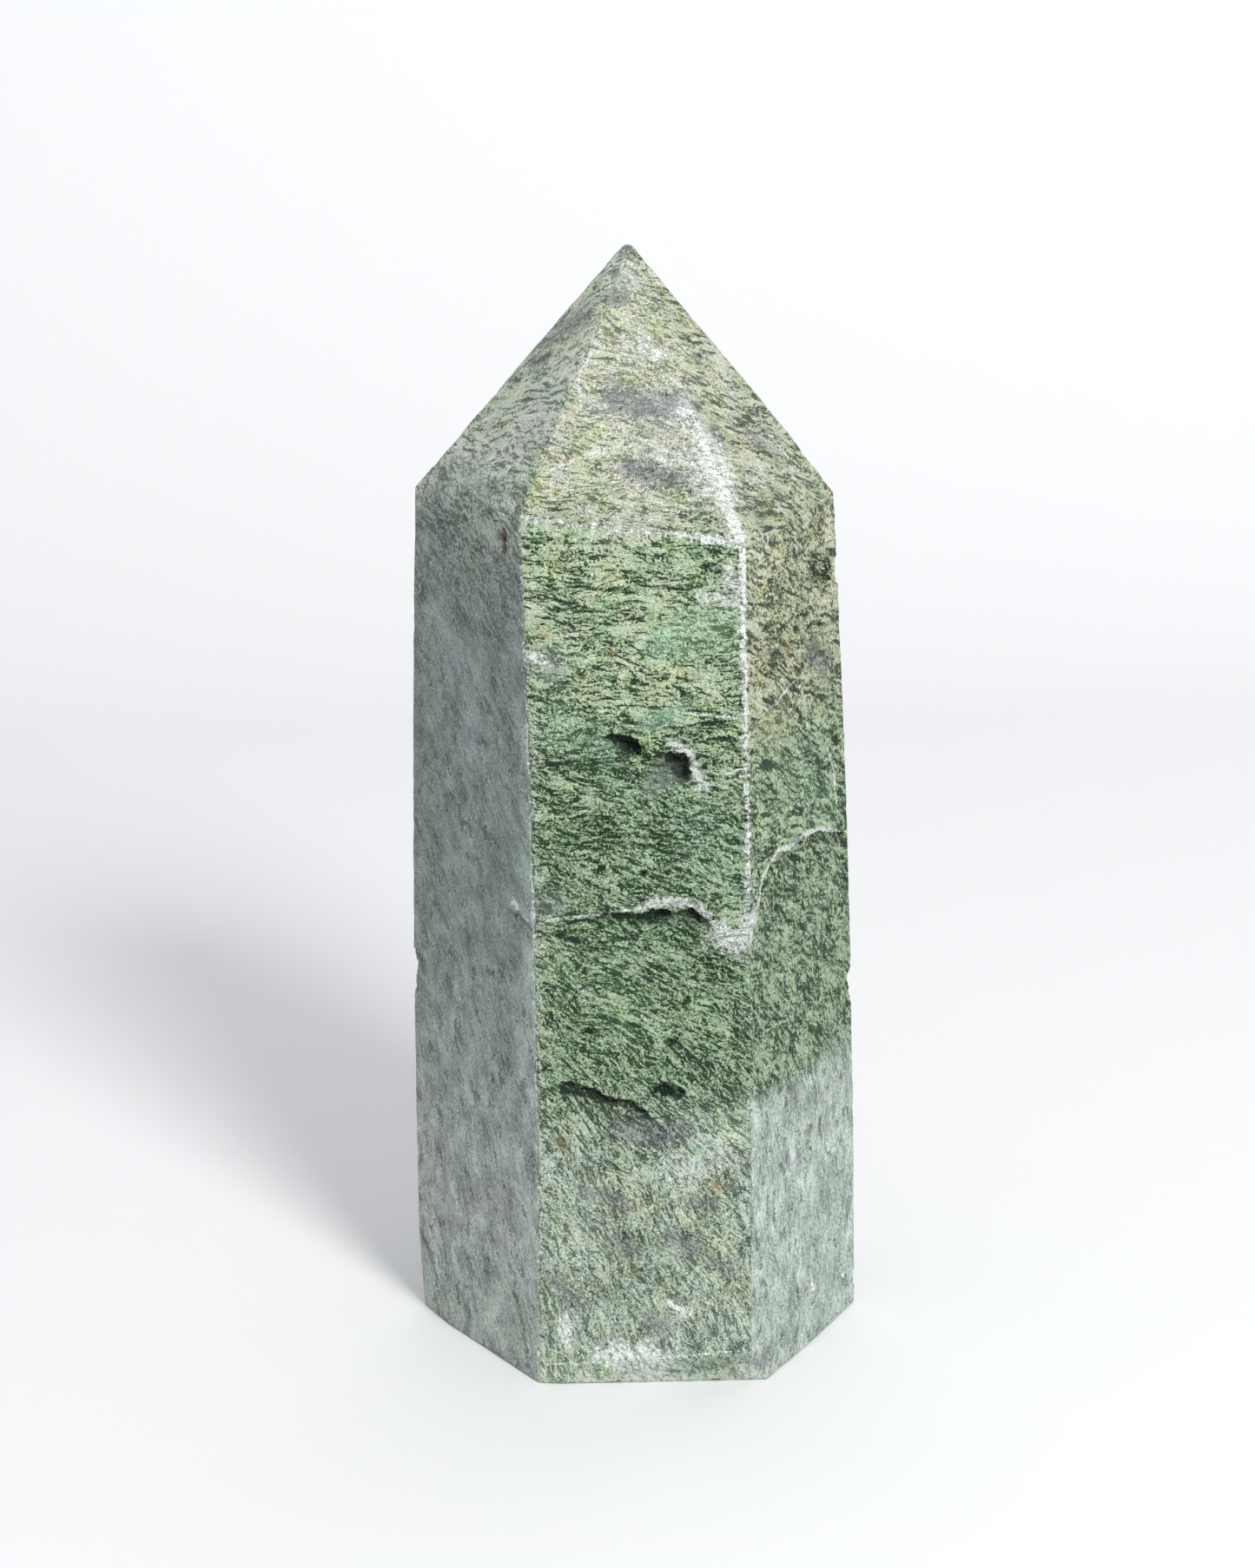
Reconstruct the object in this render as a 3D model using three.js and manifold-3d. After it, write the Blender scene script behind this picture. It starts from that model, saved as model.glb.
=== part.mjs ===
// Moss agate tower: one piece of grey chalcedony full of green moss, ground by hand to a
// six-sided column with a six-faced point. A narrow seventh face runs down its right edge.
// Millimetres, +Z up. The stone stands on the origin, and its front face looks along -Y.

import * as THREE from 'three';
import { mergeVertices } from 'three/addons/utils/BufferGeometryUtils.js';
import Module from 'manifold-3d';

const wasm = await Module();
wasm.setup();

// Height of the whole tower, and where the faces of the point would meet above its worn tip
const HEIGHT = 100;
const APEX = [0.36, 0, 100.6];

// The middle of the stone's plan, which is moved onto the origin when all is cut
const PLAN_CENTRE = [-0.31, -0.39];

// The column's edges, anticlockwise from above. foot is on the table, shoulder is where the
// point begins, and swell is how far the edge bows out halfway up
const EDGES = {
  left: { foot: [-21.1, 0.3], shoulder: [-19.0, 0.2, 78.9], swell: [-0.45, 0] },
  frontLeft: { foot: [-9.4, -17.0], shoulder: [-9.2, -16.0, 78.7], swell: [0.5, -0.6] },
  frontRight: { foot: [9.65, -20.0], shoulder: [9.55, -18.9, 76.8], swell: [0.3, -0.5] },
  narrow: { foot: [15.7, -9.4], shoulder: [14.75, -9.3, 77.0], swell: [0.25, -0.2] },
  right: { foot: [20.4, -0.3], shoulder: [18.45, -0.3, 77.9], swell: [0.5, 0] },
  backRight: { foot: [9.9, 17.4], shoulder: [9.0, 16.2, 78.2], swell: [0.2, 0.5] },
  backLeft: { foot: [-9.8, 19.3], shoulder: [-8.9, 17.9, 77.2], swell: [-0.2, 0.45] },
};

// Each face of the column lies between two edges, named left to right as seen from outside
const FACES = {
  left: ['left', 'frontLeft'],
  front: ['frontLeft', 'frontRight'],
  right: ['frontRight', 'narrow'],
  narrow: ['narrow', 'right'],
  backRight: ['right', 'backRight'],
  back: ['backRight', 'backLeft'],
  backLeft: ['backLeft', 'left'],
};

// Heights of the column's rings, and the top of the blank before the point is ground
const RINGS = [0, 13, 26, 39, 52, 65, 80];
const BLANK_TOP = 106;

// The narrow face dies out on the point here
const NARROW_END = [13.4, -0.6, 84.5];

// A worn facet bevels the front left ridge near the tip: two points down the ridge and one
// at the tip
const WORN_RIDGE = [[-4.02, -6.4, 91.2], [0.1, 0.1, 99.9], [-1.4, 0, 98.6]];

// The small facet that blunts the front of the tip
const TIP_NICK = [[-0.7, -1.2, 99.0], [1.3, -1.2, 98.6], [0.3, 0, 100.0]];

// Bevel along the foot of the front face, which deepens to the right: where it leaves the
// front left edge, where it crosses the front right edge, and where it ends on the right face
const FOOT_BEVEL = [[-9.6, -17.1, 0], [11.6, -16.9, 0], [9.7, -20.0, 4.4]];

// The left edge's foot is worn back
const WORN_FOOT = [[-20.35, 0.3, 0], [-19.6, -1.1, 0], [-21.2, 0.3, 13]];

// Pits: face, distance from its left edge, height, then width, height and depth of the pit,
// its turn in degrees anticlockwise, and a number that sets its ragged shape
const PITS = [
  ['front', 8.3, 59.3, 3.2, 1.3, 1.3, -25, 1],
  ['front', 12.7, 57.4, 2.8, 3.2, 1.9, 35, 2],
  ['front', 11.0, 56.8, 4.4, 2.6, 0.6, 20, 3],
  ['front', 9.6, 48.0, 0.9, 0.7, 0.7, 0, 4],
  ['front', 1.4, 45.5, 2.4, 1.4, 0.6, 0, 5],
  ['front', 11.2, 28.4, 2.6, 1.3, 0.9, -10, 6],
  ['front', 12.7, 28.3, 1.0, 1.0, 1.0, 0, 7],
  ['front', 2.0, 23.0, 1.2, 1.4, 0.4, 0, 8],
  ['front', 12.6, 1.2, 1.4, 0.8, 0.7, 0, 9],
  ['front', 4.9, 33.6, 1.6, 0.7, 0.6, 0, 10],
  ['front', 12.1, 32.8, 1.9, 0.8, 0.6, -15, 11],
  ['left', 16.2, 76.3, 0.8, 2.2, 0.7, 0, 12],
  ['left', 13.6, 27.0, 0.9, 0.9, 0.4, 0, 13],
  ['narrow', 5.4, 71.6, 6.2, 3.0, 0.8, -15, 14],
  ['narrow', 4.2, 64.9, 5.4, 4.4, 0.6, -10, 15],
  ['right', 7.6, 69.7, 0.9, 3.6, 0.6, 0, 16],
  ['right', 4.4, 56.2, 1.4, 0.9, 0.5, 20, 17],
  ['backRight', 7.5, 60.5, 3.4, 2.0, 1.1, 25, 18],
  ['backRight', 14.2, 24.0, 1.8, 1.3, 0.8, -20, 19],
  ['back', 6.5, 36.0, 4.2, 2.4, 1.2, -12, 20],
  ['back', 13.6, 66.0, 2.2, 1.4, 0.8, 10, 21],
  ['back', 11.8, 16.5, 1.5, 1.1, 0.7, 30, 22],
  ['backLeft', 12.4, 50.5, 2.8, 1.5, 0.9, 15, 23],
  ['backLeft', 6.2, 20.0, 1.6, 1.2, 0.6, 0, 24],
];

// Chips out of the column's edges: edge, height, width, height and depth, and shape number
const CHIPS = [
  ['left', 33.9, 2.2, 4.4, 0.9, 31],
  ['right', 70.9, 1.8, 2.8, 0.6, 32],
  ['right', 32.2, 2.6, 5.0, 0.6, 33],
  ['frontLeft', 44.0, 0.9, 2.4, 0.5, 34],
  ['right', 2.6, 1.6, 2.4, 0.6, 35],
  ['backRight', 41.5, 2.0, 3.4, 0.8, 36],
  ['backLeft', 58.5, 1.6, 2.6, 0.6, 37],
  ['backLeft', 1.0, 3.4, 2.6, 1.0, 38],
];

// Ledges and crevices, where a layer broke away under a rim. Each station along the rim has
// its distance from the face's left edge, its height, the depth under the rim, and how far
// below the rim the hollow runs out
const LEDGES = [
  {
    face: 'front',
    rim: [
      [-0.3, 42.9, 0.2, 0.8], [2.1, 44.1, 0.5, 1.6], [4.3, 44.3, 0.8, 2.2],
      [6.7, 44.9, 0.9, 2.8], [9.6, 44.6, 1.0, 3.0], [11.1, 45.1, 1.5, 2.6],
      [12.2, 45.7, 1.9, 2.4], [13.3, 44.8, 1.0, 3.4], [14.6, 45.6, 1.5, 3.6],
      [15.8, 44.2, 0.8, 3.4], [16.4, 42.9, 0.3, 2.4],
    ],
  },
  {
    face: 'front',
    rim: [
      [1.4, 28.7, 0.3, 0.9], [3.4, 28.8, 0.9, 1.6], [4.9, 28.4, 1.4, 2.2],
      [6.6, 27.5, 1.3, 1.7], [8.4, 27.2, 1.2, 1.6], [9.5, 26.4, 0.9, 1.1],
      [10.4, 25.5, 0.3, 0.5],
    ],
  },
  {
    face: 'front',
    rim: [[0.2, 63.6, 0.2, 0.4], [2.6, 64.5, 0.7, 0.8], [4.7, 65.0, 0.2, 0.4]],
  },
  {
    face: 'front',
    rim: [[0.3, 60.0, 0.2, 0.4], [2.6, 59.7, 0.5, 0.7], [6.0, 60.6, 0.2, 0.4]],
  },
  {
    face: 'right',
    rim: [
      [1.9, 44.0, 0.2, 0.8], [2.6, 46.2, 0.4, 1.6], [4.0, 47.7, 0.5, 2.4],
      [6.6, 48.4, 0.5, 2.8], [9.4, 48.2, 0.5, 3.0], [11.4, 48.4, 0.3, 2.6],
    ],
  },
  {
    face: 'narrow',
    rim: [[-0.2, 48.4, 0.3, 2.6], [3.0, 48.3, 0.6, 3.2], [6.4, 47.4, 0.5, 2.8],
      [10.4, 46.2, 0.3, 2.0]],
  },
  {
    face: 'narrow',
    rim: [[1.6, 73.3, 0.2, 0.5], [3.6, 73.6, 0.8, 1.5], [6.6, 73.9, 0.8, 1.6],
      [9.6, 73.2, 0.3, 0.8]],
  },
  {
    face: 'narrow',
    rim: [[1.0, 66.6, 0.2, 0.5], [3.0, 67.3, 0.6, 1.2], [6.4, 66.6, 0.5, 1.0],
      [8.6, 65.8, 0.2, 0.4]],
  },
  {
    face: 'left',
    rim: [[16.4, 43.6, 0.2, 0.4], [18.4, 43.5, 0.4, 0.7], [20.9, 42.7, 0.3, 0.6]],
  },
  {
    face: 'left',
    rim: [[-0.6, 36.0, 0.7, 1.8], [1.0, 35.4, 0.6, 1.5], [2.6, 35.2, 0.2, 0.6]],
  },
  {
    face: 'backRight',
    rim: [[-0.3, 46.0, 0.3, 1.6], [3.0, 45.0, 0.7, 2.2], [6.6, 45.3, 0.8, 2.4],
      [10.4, 43.6, 0.6, 2.0], [13.5, 43.2, 0.2, 0.8]],
  },
  {
    face: 'back',
    rim: [[4.0, 37.6, 0.2, 0.6], [6.4, 37.4, 1.0, 1.8], [9.2, 36.6, 0.8, 1.5],
      [11.6, 36.4, 0.2, 0.5]],
  },
];

// Flakes that stand proud of the face, laid out as the pits are
const FLAKES = [
  ['front', 11.5, 61.5, 3.4, 1.5, 0.35, 18, 41],
  ['front', 15.2, 42.4, 2.6, 2.4, 0.25, -20, 42],
];

// Facets round a ragged pit, how uneven it is, and how far a cutter stands out of the stone
const PIT_DETAIL = 1;
const RAGGED = 0.22;
const CLEARANCE = 0.6;

const vector = (point) => new THREE.Vector3(...point);

// A repeatable number from 0 to 1 for each pair of whole numbers
function chance(seed, step) {
  const mixed = Math.sin(seed * 127.1 + step * 311.7) * 43758.5453;
  return mixed - Math.floor(mixed);
}

// A closed manifold solid from a closed three.js geometry
function solid(geometry) {
  const bare = geometry.clone();
  bare.deleteAttribute('normal');
  bare.deleteAttribute('uv');
  const merged = mergeVertices(bare);
  return new wasm.Manifold(new wasm.Mesh({
    numProp: 3,
    vertProperties: new Float32Array(merged.attributes.position.array),
    triVerts: new Uint32Array(merged.index.array),
  }));
}

// A closed skin through rings of equal length, each anticlockwise as seen from the last ring
function loft(rings) {
  const count = rings[0].length;
  const index = [];
  for (let ring = 0; ring < rings.length - 1; ring += 1) {
    for (let side = 0; side < count; side += 1) {
      const here = ring * count + side;
      const next = ring * count + (side + 1) % count;
      index.push(here, next, next + count, here, next + count, here + count);
    }
  }
  const last = (rings.length - 1) * count;
  for (let side = 1; side < count - 1; side += 1) {
    index.push(0, side + 1, side);
    index.push(last, last + side, last + side + 1);
  }
  const geometry = new THREE.BufferGeometry().setFromPoints(rings.flat());
  geometry.setIndex(index);
  return geometry;
}

// The point at a given height on one edge of the column
function edgePoint(name, height) {
  const { foot, shoulder, swell } = EDGES[name];
  const rise = height / shoulder[2];
  const bow = 4 * rise * (1 - rise);
  return new THREE.Vector3(
    THREE.MathUtils.lerp(foot[0], shoulder[0], rise) + swell[0] * bow,
    THREE.MathUtils.lerp(foot[1], shoulder[1], rise) + swell[1] * bow,
    height,
  );
}

// The frame of a spot on a face: X runs to the right along the face, Y up, and Z outward
function faceFrame(face, across, height) {
  const [start, end] = FACES[face].map((name) => edgePoint(name, height));
  const right = end.sub(start).normalize();
  const outward = new THREE.Vector3().crossVectors(right, new THREE.Vector3(0, 0, 1));
  const up = new THREE.Vector3().crossVectors(outward, right);
  const spot = start.addScaledVector(right, across);
  return new THREE.Matrix4().makeBasis(right, up, outward).setPosition(spot);
}

// The frame of a spot on an edge, with Z straight out from the middle of the stone
function edgeFrame(name, height) {
  const spot = edgePoint(name, height);
  const outward = new THREE.Vector3(spot.x, spot.y, 0).normalize();
  const up = new THREE.Vector3(0, 0, 1);
  const right = new THREE.Vector3().crossVectors(up, outward);
  return new THREE.Matrix4().makeBasis(right, up, outward).setPosition(spot);
}

// The blank: the column carried on straight above its shoulders
function blank() {
  const names = Object.keys(EDGES);
  const rings = RINGS.map((height) => names.map((name) => edgePoint(name, height)));
  const top = rings[rings.length - 1].map((point) => point.clone().setZ(BLANK_TOP));
  return solid(loft([...rings, top]));
}

// Grinds a stone flat on the plane through three points, anticlockwise as seen from outside
function grind(stone, a, b, c) {
  const size = 4 * HEIGHT;
  const plane = new THREE.Plane().setFromCoplanarPoints(vector(a), vector(b), vector(c));
  const wheel = new THREE.BoxGeometry(size, size, size);
  wheel.translate(0, 0, size / 2);
  const turn = new THREE.Quaternion().setFromUnitVectors(new THREE.Vector3(0, 0, 1), plane.normal);
  wheel.applyQuaternion(turn);
  wheel.translate(...vector(a).toArray());
  return stone.subtract(solid(wheel));
}

// Grinds the faces of the point, one over each face of the column
function grindPoint(stone) {
  let ground = stone;
  for (const [face, [start, end]] of Object.entries(FACES)) {
    const meeting = face === 'narrow' ? NARROW_END : APEX;
    ground = grind(ground, EDGES[start].shoulder, EDGES[end].shoulder, meeting);
  }
  ground = grind(ground, ...WORN_RIDGE);
  ground = grind(ground, ...TIP_NICK);
  return grind(ground, [0, 0, HEIGHT], [1, 0, HEIGHT], [0, 1, HEIGHT]);
}

// A ragged lump, the shape that a pit leaves, centred on the surface
function lump(width, height, depth, turn, seed) {
  const ball = mergeVertices(stripped(new THREE.IcosahedronGeometry(1, PIT_DETAIL)));
  const places = ball.attributes.position;
  for (let corner = 0; corner < places.count; corner += 1) {
    const reach = 1 + RAGGED * (2 * chance(seed, corner) - 1);
    places.setXYZ(
      corner,
      places.getX(corner) * reach * width / 2,
      places.getY(corner) * reach * height / 2,
      places.getZ(corner) * reach * depth,
    );
  }
  return ball.rotateZ(THREE.MathUtils.degToRad(turn));
}

// The same geometry with its positions alone
function stripped(geometry) {
  geometry.deleteAttribute('normal');
  geometry.deleteAttribute('uv');
  return geometry;
}

// The hollow under a ledge: upright under the rim, then sloping back out to the face
function ledgeHollow(face, rim) {
  const rings = rim.map(([across, height, depth, run]) => {
    const frame = faceFrame(face, across, height);
    const section = [[0, CLEARANCE], [-run, CLEARANCE], [-run, 0], [0, -depth]];
    return section.map(([y, z]) => new THREE.Vector3(0, y, z).applyMatrix4(frame));
  });
  return solid(loft(rings));
}

// The finished stone
function tower() {
  let stone = grindPoint(blank());
  stone = grind(stone, ...FOOT_BEVEL);
  stone = grind(stone, ...WORN_FOOT);
  for (const [face, across, height, ...shape] of FLAKES) {
    const flake = lump(...shape).applyMatrix4(faceFrame(face, across, height));
    stone = stone.add(solid(flake));
  }
  for (const { face, rim } of LEDGES) {
    stone = stone.subtract(ledgeHollow(face, rim));
  }
  for (const [face, across, height, ...shape] of PITS) {
    const pit = lump(...shape).applyMatrix4(faceFrame(face, across, height));
    stone = stone.subtract(solid(pit));
  }
  for (const [edge, height, width, tall, depth, seed] of CHIPS) {
    const chip = lump(width, tall, depth, 0, seed).applyMatrix4(edgeFrame(edge, height));
    stone = stone.subtract(solid(chip));
  }
  return stone;
}

// The mesh of a manifold solid, moved onto the origin
function meshOf(stone, name, material) {
  const { vertProperties, triVerts } = stone.getMesh();
  const geometry = new THREE.BufferGeometry();
  geometry.setAttribute('position', new THREE.BufferAttribute(vertProperties, 3));
  geometry.setIndex(new THREE.BufferAttribute(triVerts, 1));
  geometry.translate(-PLAN_CENTRE[0], -PLAN_CENTRE[1], 0);
  geometry.computeVertexNormals();
  const mesh = new THREE.Mesh(geometry, material);
  mesh.name = name;
  return mesh;
}

const mossAgate = new THREE.MeshStandardMaterial({
  color: 0x87997f,
  roughness: 0.45,
  metalness: 0,
  flatShading: true,
});

const group = new THREE.Group();
group.add(meshOf(tower(), 'agate_tower', mossAgate));

export default group;
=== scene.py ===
"""Moss agate tower: the looks of a hand-ground stone point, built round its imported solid.

The stone is one fine mesh, in millimetres in the tables below and in metres in the scene.
It stands on the origin, +Z up, and its front face looks along -Y.
"""

import math

import bmesh
import bpy
import numpy as np
from mathutils import Matrix, Vector, noise


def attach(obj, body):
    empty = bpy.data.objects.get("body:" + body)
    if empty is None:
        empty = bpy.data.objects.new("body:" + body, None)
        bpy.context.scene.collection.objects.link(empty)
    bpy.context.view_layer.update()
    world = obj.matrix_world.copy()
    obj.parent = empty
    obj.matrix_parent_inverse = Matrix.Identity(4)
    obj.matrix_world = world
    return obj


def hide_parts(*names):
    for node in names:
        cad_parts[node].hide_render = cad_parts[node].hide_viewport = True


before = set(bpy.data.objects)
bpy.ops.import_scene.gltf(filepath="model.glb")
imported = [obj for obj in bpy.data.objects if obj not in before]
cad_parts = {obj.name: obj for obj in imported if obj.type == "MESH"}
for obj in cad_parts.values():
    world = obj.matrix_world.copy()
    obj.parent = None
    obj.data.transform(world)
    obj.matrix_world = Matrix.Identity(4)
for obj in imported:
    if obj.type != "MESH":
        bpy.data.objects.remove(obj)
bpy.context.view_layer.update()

NODE = "agate_tower"
MM = 0.001

# Height of the whole tower, where the faces of the point would meet, and the plan's middle
HEIGHT = 100.0
APEX = (0.36, 0.0, 100.6)
PLAN_CENTRE = (-0.31, -0.39)

# The column's edges, anticlockwise from above: foot, shoulder, and the bow halfway up
EDGES = {
    "left": ((-21.1, 0.3), (-19.0, 0.2, 78.9), (-0.45, 0.0)),
    "front_left": ((-9.4, -17.0), (-9.2, -16.0, 78.7), (0.5, -0.6)),
    "front_right": ((9.65, -20.0), (9.55, -18.9, 76.8), (0.3, -0.5)),
    "narrow": ((15.7, -9.4), (14.75, -9.3, 77.0), (0.25, -0.2)),
    "right": ((20.4, -0.3), (18.45, -0.3, 77.9), (0.5, 0.0)),
    "back_right": ((9.9, 17.4), (9.0, 16.2, 78.2), (0.2, 0.5)),
    "back_left": ((-9.8, 19.3), (-8.9, 17.9, 77.2), (-0.2, 0.45)),
}

# The faces between the edges, left to right as seen from outside, and the cells across each
FACES = {
    "left": ("left", "front_left", 40),
    "front": ("front_left", "front_right", 48),
    "right": ("front_right", "narrow", 24),
    "narrow": ("narrow", "right", 24),
    "back_right": ("right", "back_right", 40),
    "back": ("back_right", "back_left", 40),
    "back_left": ("back_left", "left", 40),
}

# Rings of cells up the column and the point, the lengths that they are laid out along, and
# where the two finest cells beside an edge end
COLUMN_ROWS = 160
COLUMN_LENGTH = 78.0
POINT_ROWS = 64
POINT_LENGTH = 29.0
NEAR_EDGE = (0.14, 0.42)

# How many cells become one while the point is wider than a share of its foot, and at each
# ring across the base
THINNING = ((0.5, 1), (0.25, 2), (0.12, 4), (0.0, 8))
BASE_RINGS = ((0.99, 1), (0.96, 1), (0.88, 2), (0.7, 4), (0.45, 8), (0.2, 8))

# Finer cells: how far they reach round a pit and a chip, beside a ledge, above it, and above
# and below it together, and how deep. Places in front of the limit are refined once more.
PIT_MARGIN = 0.3
CHIP_MARGIN = 0.4
LEDGE_SIDE = 0.2
LEDGE_ABOVE = 0.4
LEDGE_SPARE = 0.6
DETAIL_DEPTH = 1.5
SECOND_LIMIT = 2.0
SECOND_REACH = 0.9

# Where the narrow face dies out, the bevel on the front left ridge and the blunt of the tip
NARROW_END = (13.4, -0.6, 84.5)
WORN_RIDGE = ((-4.02, -6.4, 91.2), (0.1, 0.1, 99.9), (-1.4, 0.0, 98.6))
TIP_NICK = ((-0.7, -1.2, 99.0), (1.3, -1.2, 98.6), (0.3, 0.0, 100.0))

# The bevel along the foot of the front face, and the worn foot of the left edge
FOOT_BEVEL = ((-9.6, -17.1, 0.0), (11.6, -16.9, 0.0), (9.7, -20.0, 4.4))
WORN_FOOT = ((-20.35, 0.3, 0.0), (-19.6, -1.1, 0.0), (-21.2, 0.3, 13.0))

# Pits: face, distance from its left edge, height, width, tallness, depth, turn and seed
PITS = (
    ("front", 8.3, 59.4, 3.3, 1.8, 1.7, -25, 1),
    ("front", 13.0, 57.5, 2.0, 3.0, 1.8, 35, 2),
    ("front", 11.2, 56.8, 4.6, 2.6, 0.7, 20, 3),
    ("front", 9.6, 48.0, 0.9, 0.7, 0.7, 0, 4),
    ("front", 1.4, 45.5, 2.4, 1.4, 0.6, 0, 5),
    ("front", 11.2, 28.4, 2.6, 1.3, 0.9, -10, 6),
    ("front", 12.7, 28.3, 1.0, 1.0, 1.0, 0, 7),
    ("front", 2.0, 23.0, 1.2, 1.4, 0.4, 0, 8),
    ("front", 12.6, 1.2, 1.4, 0.8, 0.7, 0, 9),
    ("front", 4.9, 33.6, 1.6, 0.7, 0.6, 0, 10),
    ("front", 12.1, 32.8, 1.9, 0.8, 0.6, -15, 11),
    ("left", 16.2, 76.3, 0.8, 2.2, 0.7, 0, 12),
    ("left", 13.6, 27.0, 0.9, 0.9, 0.4, 0, 13),
    ("narrow", 5.4, 71.6, 6.2, 3.0, 0.8, -15, 14),
    ("narrow", 4.2, 64.9, 5.4, 4.4, 0.6, -10, 15),
    ("right", 7.6, 69.7, 0.9, 3.6, 0.6, 0, 16),
    ("right", 4.4, 56.2, 1.4, 0.9, 0.5, 20, 17),
    ("back_right", 7.5, 60.5, 3.4, 2.0, 1.1, 25, 18),
    ("back_right", 14.2, 24.0, 1.8, 1.3, 0.8, -20, 19),
    ("back", 6.5, 36.0, 4.2, 2.4, 1.2, -12, 20),
    ("back", 13.6, 66.0, 2.2, 1.4, 0.8, 10, 21),
    ("back", 11.8, 16.5, 1.5, 1.1, 0.7, 30, 22),
    ("back_left", 12.4, 50.5, 2.8, 1.5, 0.9, 15, 23),
    ("back_left", 6.2, 20.0, 1.6, 1.2, 0.6, 0, 24),
)

# Chips out of the edges: edge, height, width, tallness, depth and seed
CHIPS = (
    ("left", 33.9, 1.7, 4.2, 0.6, 31),
    ("right", 70.9, 1.8, 2.8, 0.6, 32),
    ("right", 32.2, 2.6, 5.0, 0.6, 33),
    ("front_left", 44.0, 0.9, 2.4, 0.5, 34),
    ("right", 2.6, 1.6, 2.4, 0.6, 35),
    ("back_right", 41.5, 2.0, 3.4, 0.8, 36),
    ("back_left", 58.5, 1.6, 2.6, 0.6, 37),
    ("back_left", 1.0, 3.4, 2.6, 1.0, 38),
)

# Ledges: the face, then stations along the rim, each with its distance from the face's left
# edge, its height, the depth under the rim and how far below it the hollow runs out
LEDGES = (
    ("front", (
        (-0.3, 42.9, 0.2, 0.8), (2.1, 44.1, 0.5, 1.6), (4.3, 44.3, 0.8, 2.2),
        (6.7, 44.6, 0.9, 2.8), (8.8, 44.4, 1.0, 3.0), (10.2, 44.6, 1.5, 2.6),
        (11.2, 45.0, 1.9, 2.4), (12.3, 44.5, 1.0, 3.4), (13.8, 45.1, 1.5, 3.6),
        (15.0, 44.0, 0.8, 3.4), (15.9, 42.9, 0.3, 2.4),
    )),
    ("front", (
        (1.4, 28.7, 0.3, 0.9), (3.4, 28.8, 0.9, 1.6), (4.9, 28.4, 1.4, 2.2),
        (6.6, 27.5, 1.3, 1.7), (8.4, 27.2, 1.2, 1.6), (9.5, 26.4, 0.9, 1.1),
        (10.4, 25.5, 0.3, 0.5),
    )),
    ("front", ((0.2, 63.6, 0.2, 0.4), (2.6, 64.5, 0.7, 0.8), (4.7, 65.0, 0.2, 0.4))),
    ("front", ((0.3, 60.0, 0.2, 0.4), (2.6, 59.7, 0.5, 0.7), (6.0, 60.6, 0.2, 0.4))),
    ("right", (
        (1.9, 44.0, 0.2, 0.8), (2.6, 46.2, 0.4, 1.6), (4.0, 47.7, 0.5, 2.4),
        (6.6, 48.4, 0.5, 2.8), (9.4, 48.2, 0.5, 3.0), (11.4, 48.4, 0.3, 2.6),
    )),
    ("narrow", (
        (-0.2, 48.4, 0.3, 2.6), (3.0, 48.3, 0.6, 3.2), (6.4, 47.4, 0.5, 2.8),
        (10.4, 46.2, 0.3, 2.0),
    )),
    ("narrow", (
        (1.6, 73.3, 0.2, 0.5), (3.6, 73.6, 0.8, 1.5), (6.6, 73.9, 0.8, 1.6),
        (9.6, 73.2, 0.3, 0.8),
    )),
    ("narrow", (
        (1.0, 66.6, 0.2, 0.5), (3.0, 67.3, 0.6, 1.2), (6.4, 66.6, 0.5, 1.0),
        (8.6, 65.8, 0.2, 0.4),
    )),
    ("left", ((16.4, 43.6, 0.2, 0.4), (18.4, 43.5, 0.4, 0.7), (20.9, 42.7, 0.3, 0.6))),
    ("left", ((-0.6, 36.0, 0.7, 1.8), (1.0, 35.4, 0.6, 1.5), (2.6, 35.2, 0.2, 0.6))),
    ("back_right", (
        (-0.3, 46.0, 0.3, 1.6), (3.0, 45.0, 0.7, 2.2), (6.6, 45.3, 0.8, 2.4),
        (10.4, 43.6, 0.6, 2.0), (13.5, 43.2, 0.2, 0.8),
    )),
    ("back", (
        (4.0, 37.6, 0.2, 0.6), (6.4, 37.4, 1.0, 1.8), (9.2, 36.6, 0.8, 1.5),
        (11.6, 36.4, 0.2, 0.5),
    )),
)

# Flakes that stand proud of the face, laid out as the pits are
FLAKES = (
    ("front", 11.5, 61.5, 3.4, 1.5, 0.35, 18, 41),
    ("front", 15.2, 42.4, 2.6, 2.4, 0.25, -20, 42),
)

# Broken places: how deep they are looked for, a depth that leaves the face as it is, and the
# noise of their rims and floors in layers of share, size and seed
CARVE_DEPTH = 3.0
UNCUT = 9.0
PIT_RIM = ((0.42, 0.9, 0), (0.26, 0.35, 0))
PIT_FLOOR = ((0.25, 0.6, 50),)
PIT_STEEPNESS = 1.6
LEDGE_RIM = ((0.30, 0.9, 0), (0.16, 0.33, 5))
LEDGE_FLOOR = ((0.3, 0.7, 60),)
LEDGE_ENDS = 0.8
LEDGE_SLOPE = 1.3
LEDGE_REACH = 24.0
LEDGE_SEED = 70
FLAKE_DEPTH = 0.6
FLAKE_RISE = 0.8

# Wear all over: what the edges lose and how far in, the skin that is ground off, the swell
# of the faces, and how high up the foot is bevelled
ROUNDING = 0.10
ROUNDING_REACH = 0.35
NIBBLES = ((0.16, 1.3, 3),)
NIBBLE_REACH = 0.5
SKIN = 0.05
SWELL = ((0.042, 9.0, 1), (0.0245, 2.6, 2))
FOOT_TOP = 20.0

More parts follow.
